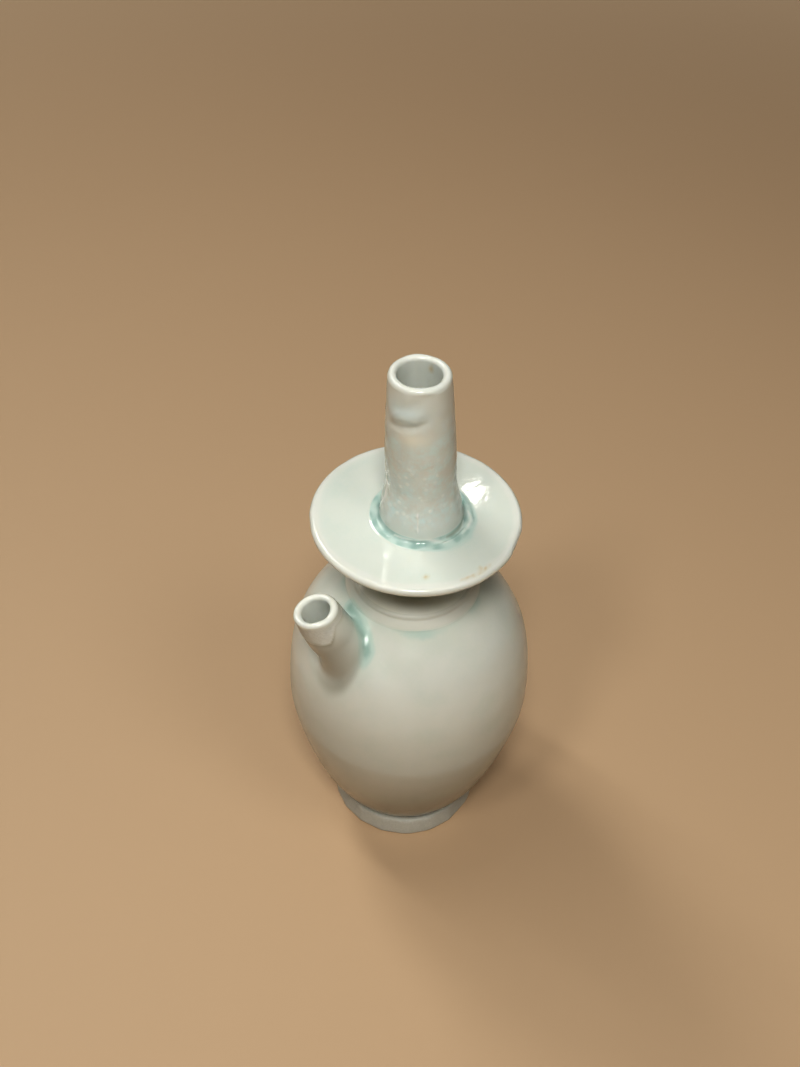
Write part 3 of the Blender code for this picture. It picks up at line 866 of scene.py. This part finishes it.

# %% [markdown]
# Small bumps under the tube's glaze are grains of clay. Their places are random, but the same on every run.
# Two thin runs of clear glaze, one on the left and one in front with a drop at each end, catch the light.
# Further down they are also painted pale, as painted highlights.

# %% Bumps and glassy runs on the tube
BUMPS = 46
BUMP_HEIGHT = 0.06
RUN_HEIGHT = 0.11
DROP_HEIGHT = 0.2
LEFT_RUN = [(-5.15, 2.3, 93.0, 0.2), (-5.45, 1.7, 90.6, 0.25), (-5.5, 1.3, 88.6, 0.25),
            (-5.65, 1.5, 86.5, 0.3), (-5.62, 2.1, 85.1, 0.25), (-5.55, 3.0, 82.9, 0.25)]
FRONT_RUN = [(-3.8, -5.2, 86.7, 0.14), (-4.05, -5.75, 82.9, 0.12)]
FRONT_DROPS = [(-3.85, -5.3, 86.1), (-4.02, -5.68, 83.4)]
bump_random = np.random.default_rng(5)
bump_turns = bump_random.uniform(-172.0, -88.0, BUMPS)
bump_heights = bump_random.uniform(84.0, 97.5, BUMPS)
bump_sizes = bump_random.uniform(0.2, 0.36, BUMPS)
bumps = np.zeros(len(points))
for turn_at, height_at, size in zip(bump_turns, bump_heights, bump_sizes):
    gap = np.hypot(np.radians(angle_between(tube_azimuth, turn_at)) * tube_radius, height - height_at)
    bumps = np.maximum(bumps, bell(gap, size))
glassy_run = np.maximum(near_path(LEFT_RUN), near_path(FRONT_RUN)) * on("tube", "pool")
relief += BUMP_HEIGHT * bumps * on("tube") + RUN_HEIGHT * glassy_run
relief += DROP_HEIGHT * sum(near_spot(drop, 0.27) for drop in FRONT_DROPS) * on("tube")
print(BUMPS, "bumps, glassy runs on", int((glassy_run > 0.5).sum()), "points")

# %% [markdown]
# ## The spout's bare band
# The side spout's end was wiped clean of glaze, or the glaze crawled back from it. A tongue of bare clay
# reaches down its front, and the glaze ends there in a soft thick edge. The lip is worn and a little
# uneven, with a small chip at the bore.

# %% Relief of the spout
BAND_DEPTH = 1.7
TONGUE_DEPTH = 3.5
TONGUE_TURN_DEG = 42.0
TONGUE_REACH_DEG = (70.0, 24.0)
CHIP_TURN_DEG = 47.0
CHIP_DEPTH = 0.22
tongue = smooth(np.abs(angle_between(spout_turn, TONGUE_TURN_DEG)), *TONGUE_REACH_DEG)
band_edge = BAND_DEPTH + TONGUE_DEPTH * tongue + 0.14 * round_the(spout_turn, 40.0, 41)
bare_band = on_spout * smooth(spout_depth, band_edge + 0.12, band_edge - 0.12)
glaze_edge = on_spout * bell(spout_depth - band_edge - 0.28, 0.30)
relief += 0.07 * glaze_edge - 0.09 * bare_band * smooth(spout_depth, 0.5, 1.4)
spout_top = on_spout * smooth(spout_depth, 1.2, 0.2)
worn = 0.06 * round_the(spout_turn, 75.0, 42) + 0.015 * round_the(spout_turn, 20.0, 43) - 0.04
relief += spout_top * worn
relief += on_spout * 0.03 * lumps(points, 4.0, 44)
bore_gap = np.hypot(local[:, 0], local[:, 1]) - SPOUT_BORE_RADIUS
chip_gap = np.radians(angle_between(spout_turn, CHIP_TURN_DEG)) * SPOUT_BORE_RADIUS
chip = bell(chip_gap, 0.45) * bell(bore_gap, 0.35)
relief -= CHIP_DEPTH * chip * on("spout_lip", "spout_bore") * smooth(spout_depth, 2.0, 0.5)
print("band reaches", round(float(band_edge.max()), 2), "mm below the mouth")

# %% [markdown]
# ## How thick the glaze is
# This glaze has its colour from its thickness. Thin on an edge it looks cream, at its usual thickness it is
# a pale grey-green, and where it stands in a corner it turns turquoise. So the main mask is one number,
# the glaze's thickness, and a colour ramp in the material does the rest.

# %% Usual thickness of the glaze
USUAL = {"body": 0.33, "collar": 0.28, "crown": 0.32, "neck": 0.50, "disc_under": 0.50, "rim": 0.50,
         "disc_top": 0.50, "pool": 0.50, "tube": 0.25, "lip": 0.02, "bore": 0.34, "spout": 0.27,
         "spout_lip": 0.08, "spout_bore": 0.15, "hollow": 0.35, "foot": 0.30, "underside": 0.30}
thickness = np.array([USUAL[name] for name in place])
thickness += (USUAL["body"] - USUAL["spout"]) * (on_body - on("body"))
thickness += on("disc_top") * 0.045 * lumps(points, 8.0, 51)
thickness += on_body * (0.06 * lumps(points * (1.0, 1.0, 1.7), 11.0, 52) + 0.10 * smooth(height, 54.0, 63.0))
print("usual thickness", round(float(thickness.min()), 2), "to", round(float(thickness.max()), 2))

# %% [markdown]
# Molten glaze draws back from edges and gathers in corners. Here it is thin on the disc's edge, and thick at
# the tube's foot, in the step under the collar and in the pool, whose colour spreads furthest on the right. In
# the mouth and on the tube's upper part the glaze is thinner and paler, partly as painted light that brightens
# the bore and the top of the tube. The dark line in the step is partly painted shade in that corner.

# %% Where the glaze is thin and where it gathers
HALO_RADIUS = [(-180, 9.05), (-139, 9.1), (-118, 9.3), (-100, 9.7), (-80, 9.9), (-55, 9.7), (-30, 9.3),
               (0, 9.0), (90, 8.9)]
RIM_DROP = 0.36
BORE_THINNING_AND_LIGHT = 0.32
TUBE_THINNING_AND_LIGHT = 0.14
STEP_HEIGHT = SHOULDER_HEIGHT - 0.2
rim_start = 16.2 + 0.25 * round_the(azimuth, 30.0, 54)
thickness -= on("disc_top", "rim", "disc_under") * RIM_DROP * smooth(radius, rim_start, rim_start + 1.9)
# paler bore and upper tube: thinner glaze, and partly painted light
thickness -= on("bore") * BORE_THINNING_AND_LIGHT * smooth(height, 96.0, 105.0)
thickness -= on("tube") * TUBE_THINNING_AND_LIGHT * (smooth(height, 95.0, 103.0) + smooth(height, 105.6, 109.2))
thickness += on("tube") * 0.20 * smooth(height, 86.0, 81.5)
# thick glaze in the step under the collar; its darker line is partly painted shade in that corner
thickness += on_body * (0.20 + 0.08 * lumps(points, 6.0, 55)) * bell(height - STEP_HEIGHT, 0.9)
thickness += on("collar") * 0.26 * bell(height - SHOULDER_HEIGHT, 0.35)
halo_radius = round_table(tube_azimuth, HALO_RADIUS)
halo_width = 0.12 + 0.75 * tube_side(-72.0, 45.0)
pool_tint = smooth(tube_radius, halo_radius + halo_width, halo_radius - halo_width - 0.1)
thickness += around_tube * pool_tint * (0.36 + 0.08 * lumps(points, 2.2, 53))
# the glassy runs get thinner, paler glaze: part of their painted highlight
thickness -= 0.30 * pale_line + 0.18 * glassy_run
print("glaze thickness", round(float(thickness.min()), 2), "to", round(float(thickness.max()), 2))

# %% [markdown]
# A second pool stands in the corner between the side spout and the collar and runs down the spout's right
# side, so its mask is a path along that corner.

# %% Pool at the spout
POOL_PATH = [(-13.0, 1.4, 62.9, 1.8), (-13.4, -1.2, 62.8, 1.9), (-13.9, -3.5, 62.0, 1.8),
             (-14.2, -5.1, 61.0, 1.7), (-15.0, -6.6, 59.8, 1.6), (-16.2, -7.3, 58.2, 1.5),
             (-17.2, -7.4, 56.9, 1.3)]
spout_pool = near_path(POOL_PATH) * on("body", "spout", "collar")
thickness = np.maximum(thickness, 0.33 + 0.60 * spout_pool * smooth(height, 55.5, 60.5))
relief += 0.06 * spout_pool
# thicker, darker glaze round the spout's root, partly painted shade where the spout meets the body
spout_root_glaze_and_shade = bell(np.hypot(local[:, 0], local[:, 1]) - 6.6, 1.3) * smooth(spout_depth, 9.0, 12.0)
thickness += 0.10 * spout_root_glaze_and_shade * joined
print("spout pool covers", int((spout_pool > 0.5).sum()), "points")

# %% [markdown]
# ## Bare clay, dark edges and painted shade
# The foot, the underside and the spout's band have no glaze. Where the glaze ends above them its edge looks
# dark, most of all on the lower right of the spout's tongue. The tube's flanks, seen from the front, are
# darkened as painted shade, and so is a gap between the tube and the pool on the right.

# %% Masks for bare clay, dark edges and painted shade
# path of painted shade in the gap between the tube and the pool
GAP_SHADE_PATH = [(0.5, -8.1, 81.1, 0.2), (1.8, -8.05, 81.06, 0.32), (3.15, -7.75, 81.05, 0.36),
            (4.4, -7.0, 81.25, 0.4), (5.3, -6.4, 81.6, 0.34), (6.3, -5.35, 81.7, 0.28),
            (6.9, -4.2, 81.8, 0.15)]
FRONT_DEG = -128.0
foot_line = FOOT_HEIGHT + 0.15 + 0.22 * round_the(azimuth, 30.0, 61)
bare = np.maximum(on("foot", "underside"), on_body * smooth(height, foot_line + 0.1, foot_line - 0.1))
bare = np.maximum(bare, bare_band * smooth(spout_depth, 0.7, 1.6))
tongue_shade = 0.25 + 0.65 * tongue * smooth(angle_between(spout_turn, TONGUE_TURN_DEG), -30.0, 20.0)
from_front = np.abs(angle_between(tube_azimuth, FRONT_DEG))
shaded_flanks = smooth(from_front, 52.0, 74.0) * smooth(from_front, 112.0, 92.0)
shaded_flanks *= smooth(height, 81.5, 84.0) * smooth(height, 97.0, 92.0) * on("tube")
dark_edge_and_shade = on_body * bell(height - foot_line - 0.3, 0.34)
dark_edge_and_shade += on_spout * tongue_shade * bell(spout_depth - band_edge - 0.1, 0.7)
# painted shade on the tube's flanks, the sides turned away from the front
dark_edge_and_shade += 0.5 * shaded_flanks * (0.65 + 0.35 * lumps(points, 1.6, 64)) * (1 - glassy_run)
# painted shade in the gap between the tube and the pool
dark_edge_and_shade += 0.75 * near_path(GAP_SHADE_PATH) * on("pool", "tube") * (1 - pale_line)
print("bare clay on", int((bare > 0.5).sum()), "points")

# %% [markdown]
# ## The tube's skin, pale marks, painted highlights and dull places
# The tube's glaze is thin and cloudy, with a warm smear below the fold, a bluish milky patch above it and
# white specks lower down. Pale marks on the pool show where glaze ran or dried. The same pale colour is
# painted as highlights on the glassy runs, their drops and a streak on the shoulder, and as painted light on
# the crown in the disc's shade. Thin glaze is duller than thick glaze.

# %% Masks for the tube's skin, pale marks, painted highlights and dull glaze
# streaks of painted highlight on the shoulder beside the spout
GLINT_STREAKS = [(-13.87, -9.54, 59.14, 0.14), (-13.4, -10.6, 58.8, 0.2)]
CLEAR_OF_RUN = 1.3
thin_skin = on("tube") * smooth(height, 81.5, 86.0) * smooth(height, 107.0, 98.0)
thin_skin *= (0.75 + 0.25 * lumps(points, 4.0, 62)) * (1 - glassy_run)
warm_smear = on("tube") * tube_side(-143.0, 28.0) * bell(height - 101.9, 1.5)
milky = on("tube") * tube_side(-152.0, 42.0) * bell(height - 106.7, 2.2)
specks = (tube_side(-130.0, 55.0) * 0.75 + 0.25) * smooth(height, 83.0, 86.0) * smooth(height, 99.5, 96.5)
specks *= on("tube") * (1 - near_path([(*row[:3], CLEAR_OF_RUN) for row in FRONT_RUN]))
# pale colour on the glassy runs and the shoulder streaks is a painted highlight, and on the crown it is
# painted light
pale_marks_and_light = np.maximum(0.75 * pale_line, glassy_run) + 0.8 * on("crown") + 0.3 * near_path(GLINT_STREAKS)
# painted highlights on the front run's drops
for drop in FRONT_DROPS:
    pale_marks_and_light = np.maximum(pale_marks_and_light, near_spot(drop, 0.3) * on("tube"))
dull = on("collar", "crown") + 0.5 * joined * (1 - spout_pool)
dull = np.maximum(dull, 0.45 * thin_skin + 0.42 * on("rim", "lip", "spout_lip"))
print("specks on", int((specks > 0.5).sum()), "points")

# %% [markdown]
# ## Painted shade and stains
# Low on the body, on the foot and under the spout the colour is darkened towards brown. This is painted
# shade: it stands in for light that falls off quickly there. Iron left brown spots, a rust line near the
# disc's edge and a yellow speck inside the tube.

# %% Masks for painted shade and stains
SPOTS = [((-7.67, -13.11, 80.7), 0.42), ((3.03, 1.74, 109.2), 0.42), ((0.9, -16.6, 80.6), 0.3)]
RUST_LINE = [(-3.4, -17.0, 80.7, 0.2), (-2.0, -17.3, 80.7, 0.35), (-0.6, -17.4, 80.65, 0.3),
             (1.0, -17.3, 80.65, 0.4), (2.6, -17.0, 80.65, 0.25)]
# painted shade: the colour darkens towards brown low on the body, on the foot and under the spout
painted_shade = on_body * (0.52 * smooth(height, 52.0, 24.0) + 0.46 * smooth(height, 30.0, 12.0))
painted_shade += 0.38 * on("foot")
shade_under_spout = bell(angle_between(spout_turn, 50.0), 70.0) * smooth(spout_depth, 2.0, 8.0)
shade_under_spout *= (1 - bare_band) * joined * smooth(spout_gap, 1.3, 0.2) * (height > BELOW_SPOUT)
painted_shade += 0.66 * shade_under_spout
stains = sum(near_spot(spot, size) for spot, size in SPOTS)
stains = stains + 0.9 * near_path(RUST_LINE) * (0.6 + 0.4 * lumps(points, 0.9, 63))
masks = {"glaze_thickness": thickness, "bare_clay": bare, "dark_edge_and_shade": dark_edge_and_shade, "thin_skin": thin_skin,
         "warm_smear": warm_smear, "milky_patch": milky, "white_specks": specks, "pale_marks_and_light": pale_marks_and_light,
         "dull_glaze": dull, "painted_shade": painted_shade, "iron_stain": stains}
print({name: round(float(mask.max()), 2) for name, mask in masks.items()})

# %% [markdown]
# ## The finished mesh
# The relief moves each point along its own direction, and the masks are stored on the points, where the
# material can read them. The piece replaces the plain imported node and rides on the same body.

# %% Vessel mesh
moved += normals * relief[:, None]
points = points + moved
points[:, 2] = np.maximum(points[:, 2], 0.0)
mesh = bpy.data.meshes.new("glazed_vessel")
mesh.from_pydata((points * MM).tolist(), [], all_faces)
mesh.shade_smooth()
for name, mask in masks.items():
    layer = mesh.attributes.new(name, "FLOAT", "POINT")
    layer.data.foreach_set("value", np.clip(mask, 0.0, 1.0).astype(np.float32))
vessel = bpy.data.objects.new("glazed_vessel", mesh)
bpy.context.scene.collection.objects.link(vessel)
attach(vessel, "root")
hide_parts("water_dropper")
triangles = sum(len(face) - 2 for face in all_faces)
print("vessel:", len(points), "points,", triangles, "triangles")

# %% [markdown]
# ## The glaze material
# One Principled material carries both glaze and clay, because on the pot they are one skin. The masks say
# what lies where, and fine noise in the pot's own coordinates keeps any patch from looking painted. Under
# the glaze, light enters porcelain a little way, so a thin subsurface layer softens the shading.

# %% Material helpers
material = bpy.data.materials.new("qingbai_glaze")
material.use_nodes = True
nodes = material.node_tree.nodes
shader = nodes["Principled BSDF"]


def opaque(colour):
    return (*colour, 1.0) if isinstance(colour, tuple) else colour


def fill(node, inputs):
    """Set a node's inputs to values, or link them to other nodes."""
    for name, value in inputs.items():
        if isinstance(value, bpy.types.NodeSocket):
            node.id_data.links.new(value, node.inputs[name])
        else:
            node.inputs[name].default_value = value
    return node


def number_node(operation, *values):
    node = nodes.new("ShaderNodeMath")
    node.operation = operation
    return fill(node, dict(enumerate(values))).outputs[0]


def mask_node(name, strength=1.0):
    node = nodes.new("ShaderNodeAttribute")
    node.attribute_name = name
    return number_node("MULTIPLY", node.outputs["Fac"], strength)


def noise_node(scale, detail=2.0, roughness=0.5, start=0.0, spread=1.0):
    """Noise in the pot's millimetres, from start to start plus spread."""
    inputs = {"Vector": pot_coordinates, "Scale": scale, "Detail": detail, "Roughness": roughness}
    noise = fill(nodes.new("ShaderNodeTexNoise"), inputs).outputs["Fac"]
    return number_node("MULTIPLY_ADD", noise, spread, start)


def mix_colour(share, first, second):
    """Inputs 6 and 7 of a Mix node, and its output 2, are the ones for colours."""
    node = nodes.new("ShaderNodeMix")
    node.data_type = "RGBA"
    return fill(node, {0: share, 6: opaque(first), 7: opaque(second)}).outputs[2]


to_millimetres = nodes.new("ShaderNodeVectorMath")
to_millimetres.operation = "SCALE"
fill(to_millimetres, {0: nodes.new("ShaderNodeTexCoord").outputs["Object"], "Scale": 1 / MM})
pot_coordinates = to_millimetres.outputs[0]
print("material:", material.name)

# %% [markdown]
# A colour ramp turns the glaze's thickness into its colour: cream where it is thin, grey-green at its usual
# depth, turquoise where it is deep. Cloudy noise and a finer mottle shift the thickness first, so that both
# follow the same colours.

# %% Glaze colour from its thickness
GLAZE_COLOURS = [(0.00, (0.92, 0.885, 0.71)), (0.15, (0.85, 0.84, 0.755)), (0.30, (0.74, 0.765, 0.74)),
                 (0.48, (0.70, 0.745, 0.715)), (0.72, (0.59, 0.70, 0.675)), (1.00, (0.39, 0.53, 0.51))]
cloudy = noise_node(0.30, 4.0, 0.6, start=-0.09, spread=0.18)
mottled = noise_node(1.6, 4.0, 0.65, start=-0.045, spread=0.09)
glaze_depth = number_node("ADD", mask_node("glaze_thickness"), number_node("ADD", cloudy, mottled))
ramp = nodes.new("ShaderNodeValToRGB")
ramp.color_ramp.interpolation = "EASE"
while len(ramp.color_ramp.elements) < len(GLAZE_COLOURS):
    ramp.color_ramp.elements.new(0.5)
for element, (position, colour) in zip(ramp.color_ramp.elements, GLAZE_COLOURS):
    element.position = position
    element.color = opaque(colour)
fill(ramp, {"Fac": glaze_depth})
print("glaze colours:", len(GLAZE_COLOURS))

# %% [markdown]
# The other colours lie over the glaze's in layers, each with its mask, as they do on the pot. The tube's
# pale skin comes and goes with noise. The specks are the hearts of small random cells, let through in some
# places only. Bare clay, the painted shade and the iron come last.

# %% Skin, clay and stain colours
SKIN_COLOUR = (0.72, 0.835, 0.84)
SMEAR_COLOUR = (0.92, 0.91, 0.83)
MILKY_COLOUR = (0.71, 0.82, 0.85)
SPECK_COLOUR = (0.86, 0.89, 0.86)
# colour of the glaze's dark edges, and of the painted shade on the tube's flanks and in the gap by the pool
EDGE_AND_SHADE_COLOUR = (0.34, 0.33, 0.25)
# colour of the pale glaze marks, of the painted highlights and of the painted light on the crown
PALE_AND_LIGHT_COLOUR = (0.87, 0.89, 0.86)
CLAY_COLOUR = (0.80, 0.82, 0.80)
CLAY_DARK_COLOUR = (0.60, 0.61, 0.59)
# colour of the painted shade low on the pot and under the spout
PAINTED_SHADE_COLOUR = (0.31, 0.30, 0.26)
STAIN_COLOUR = (0.58, 0.42, 0.16)
speck_cells = fill(nodes.new("ShaderNodeTexVoronoi"), {"Vector": pot_coordinates, "Scale": 0.8})
speck_hearts = fill(nodes.new("ShaderNodeMapRange"),
                    {"Value": speck_cells.outputs["Distance"], "From Min": 0.42, "From Max": 0.20})
specks_here = number_node("MULTIPLY", mask_node("white_specks"), speck_hearts.outputs["Result"])
specks_here = number_node("MULTIPLY", specks_here, noise_node(0.45, 3.0, start=-1.75, spread=4.5))
skin_patches = noise_node(0.45, 5.0, 0.65, start=-1.4, spread=4.0)
skin_share = number_node("MULTIPLY", mask_node("thin_skin"), skin_patches)
clay = mix_colour(noise_node(2.2, 4.0, 0.65), CLAY_COLOUR, CLAY_DARK_COLOUR)
colour = ramp.outputs["Color"]
for share, layer in [(skin_share, SKIN_COLOUR), (mask_node("warm_smear", 0.6), SMEAR_COLOUR),
                     (mask_node("milky_patch", 0.8), MILKY_COLOUR),
                     (number_node("MULTIPLY", specks_here, 0.75), SPECK_COLOUR),
                     (mask_node("dark_edge_and_shade", 0.6), EDGE_AND_SHADE_COLOUR), (mask_node("pale_marks_and_light", 0.8), PALE_AND_LIGHT_COLOUR),
                     (mask_node("bare_clay"), clay), (mask_node("painted_shade", 0.82), PAINTED_SHADE_COLOUR),
                     (mask_node("iron_stain", 0.5), STAIN_COLOUR)]:
    colour = mix_colour(share, colour, layer)
fill(shader, {"Base Color": colour})
print("colour layers joined with", len(nodes), "nodes")

# %% [markdown]
# Glaze is glassy, thin glaze is duller and clay is dull, so the roughness follows two masks. The bumps finish
# the skin: two soft orange-peel waves that break up reflections, the specks, and a grain that only the clay
# shows.

# %% Gloss, light under the skin and bump
GLAZE_ROUGHNESS = 0.045
DULL_ROUGHNESS = 0.38
CLAY_ROUGHNESS = 0.72
WAVE_HEIGHT = 0.000006
FINE_WAVE_HEIGHT = 0.0000035
GRAIN_HEIGHT = 0.00003
SPECK_HEIGHT = 0.00004
gloss = noise_node(1.2, start=GLAZE_ROUGHNESS - 0.01, spread=0.02)
for mask_name, rough in (("dull_glaze", DULL_ROUGHNESS), ("bare_clay", CLAY_ROUGHNESS)):
    gloss = number_node("MULTIPLY_ADD", mask_node(mask_name), rough - GLAZE_ROUGHNESS, gloss)
fill(shader, {"Roughness": gloss, "IOR": 1.5, "Subsurface Weight": 0.2, "Subsurface Scale": 0.0012,
              "Subsurface Radius": (1.0, 0.9, 0.75)})
grain = number_node("MULTIPLY", mask_node("bare_clay"), noise_node(4.5, 3.0, 0.6))
below = {}
for bumpiness, depth in [(noise_node(0.55), WAVE_HEIGHT), (noise_node(1.2), FINE_WAVE_HEIGHT),
                         (specks_here, SPECK_HEIGHT), (grain, GRAIN_HEIGHT)]:
    bump = fill(nodes.new("ShaderNodeBump"), {"Height": bumpiness, "Distance": depth, **below})
    below = {"Normal": bump.outputs["Normal"]}
fill(shader, below)
vessel.data.materials.append(material)
print("material:", material.name, "with", len(nodes), "nodes")

# %% [markdown]
# ## The floor
# The pot stands on a plain matt floor of a pale tan, which throws a little warm light up under the belly. A
# large plane is enough, because only its near part is seen sharply.

# %% Pale floor
FLOOR_COLOUR = (0.57, 0.44, 0.32)
FLOOR_HALF_SIZE = 2.0
FLOOR_GAP = 0.0001
floor_mesh = bpy.data.meshes.new("floor")
half = FLOOR_HALF_SIZE
floor_corners = [(x, y, -FLOOR_GAP) for x, y in ((-half, -half), (half, -half), (half, half), (-half, half))]
floor_mesh.from_pydata(floor_corners, [], [(0, 1, 2, 3)])
floor = bpy.data.objects.new("floor", floor_mesh)
bpy.context.scene.collection.objects.link(floor)
floor_material = bpy.data.materials.new("pale_floor")
floor_material.use_nodes = True
floor_nodes = floor_material.node_tree.nodes
floor_shader = fill(floor_nodes["Principled BSDF"],
                    {"Base Color": opaque(FLOOR_COLOUR), "Roughness": 0.55, "Specular IOR Level": 0.3})
floor_mesh.materials.append(floor_material)
print("floor:", 2 * FLOOR_HALF_SIZE, "m wide")

# %% [markdown]
# From low down, the far edge of a floor would show as a dark horizon. So far from the pot the floor fades
# into one plain colour, and the world shows the same colour. Only the camera sees it: the pot still gets its
# light from the lamps, as it would in a studio with a paper backdrop behind it.

# %% Backdrop that only the camera sees
BACKDROP_COLOUR = (0.31, 0.25, 0.185)
FADE_FROM = 0.25
FADE_TO = 0.85
WORLD_COLOUR = (0.95, 0.92, 0.87)
WORLD_STRENGTH = 0.02


def add_backdrop(tree, lit, end_name, share=1.0):
    """Show the backdrop's colour to the camera alone, everywhere or by the given share."""
    seen = tree.nodes.new("ShaderNodeMath")
    seen.operation = "MULTIPLY"
    fill(seen, {0: tree.nodes.new("ShaderNodeLightPath").outputs["Is Camera Ray"], 1: share})
    plain = fill(tree.nodes.new("ShaderNodeEmission"), {"Color": opaque(BACKDROP_COLOUR)})
    blend = tree.nodes.new("ShaderNodeMixShader")
    fill(blend, {0: seen.outputs[0], 1: lit, 2: plain.outputs[0]})
    fill(tree.nodes[end_name], {"Surface": blend.outputs[0]})


far_off = floor_nodes.new("ShaderNodeVectorMath")
far_off.operation = "LENGTH"
fill(far_off, {0: floor_nodes.new("ShaderNodeTexCoord").outputs["Object"]})
fade = floor_nodes.new("ShaderNodeMapRange")
fade.interpolation_type = "SMOOTHSTEP"
fill(fade, {"Value": far_off.outputs["Value"], "From Min": FADE_FROM, "From Max": FADE_TO})
floor_tree = floor_material.node_tree
add_backdrop(floor_tree, floor_shader.outputs["BSDF"], "Material Output", fade.outputs["Result"])
world = bpy.data.worlds.new("studio")
world.use_nodes = True
sky = fill(world.node_tree.nodes["Background"], {"Color": opaque(WORLD_COLOUR), "Strength": WORLD_STRENGTH})
add_backdrop(world.node_tree, sky.outputs["Background"], "World Output")
bpy.context.scene.world = world
print("floor fades between", FADE_FROM, "and", FADE_TO, "m")

# %% [markdown]
# ## The lights
# The photograph has a strong soft light close to its viewer, and weaker light all round. Three softboxes in
# front, left and right give the first, and one overhead and one behind the second. A small lamp makes the
# bright patch on the disc, and a narrow strip behind draws the line of light along the pool's edge. The
# high-contrast look and the exposure match the photograph's bright, hard tones.

# %% Soft lights
WARM = (1.0, 0.97, 0.90)
NEUTRAL = (1.0, 0.98, 0.93)
LAMP_COLOUR = (1.0, 0.98, 0.90)
AIM_HEIGHT = 0.06
EXPOSURE = 0.23


def soft_light(name, azimuth_deg, elevation_deg, distance, size, power, colour):
    data = bpy.data.lights.new(name, "AREA")
    data.shape = "DISK"
    data.size = size
    data.energy = power
    data.color = colour
    light = bpy.data.objects.new(name, data)
    turned, raised = radians(azimuth_deg), radians(elevation_deg)
    towards = Vector((cos(raised) * cos(turned), cos(raised) * sin(turned), sin(raised)))
    light.location = towards * distance + Vector((0.0, 0.0, AIM_HEIGHT))
    light.rotation_euler = towards.to_track_quat("Z", "Y").to_euler()
    bpy.context.scene.collection.objects.link(light)
    return light


def make_oblong(light, other_size, roll_deg):
    light.data.shape = "RECTANGLE"
    light.data.size_y = other_size
    light.rotation_euler.rotate_axis("Z", radians(roll_deg))


soft_light("front_softbox", -128.0, 59.0, 0.75, 0.2, 1.75, WARM)
soft_light("left_softbox", -164.0, 54.0, 0.9, 0.15, 0.58, WARM)
soft_light("right_softbox", -78.0, 55.0, 0.9, 0.3, 0.5, WARM)
soft_light("overhead_softbox", 60.0, 80.0, 2.6, 3.0, 0.9, NEUTRAL)
soft_light("back_softbox", 95.0, 48.0, 0.8, 0.2, 0.75, WARM)
make_oblong(soft_light("small_lamp", 47.4, 43.9, 1.2, 0.030, 0.019, LAMP_COLOUR), 0.016, 35.0)
make_oblong(soft_light("strip_softbox", 118.0, 66.5, 0.7, 0.045, 0.42, NEUTRAL), 0.45, -17.0)
view = bpy.context.scene.view_settings
view.view_transform = "Standard"
view.look = "Very High Contrast"
view.exposure = EXPOSURE
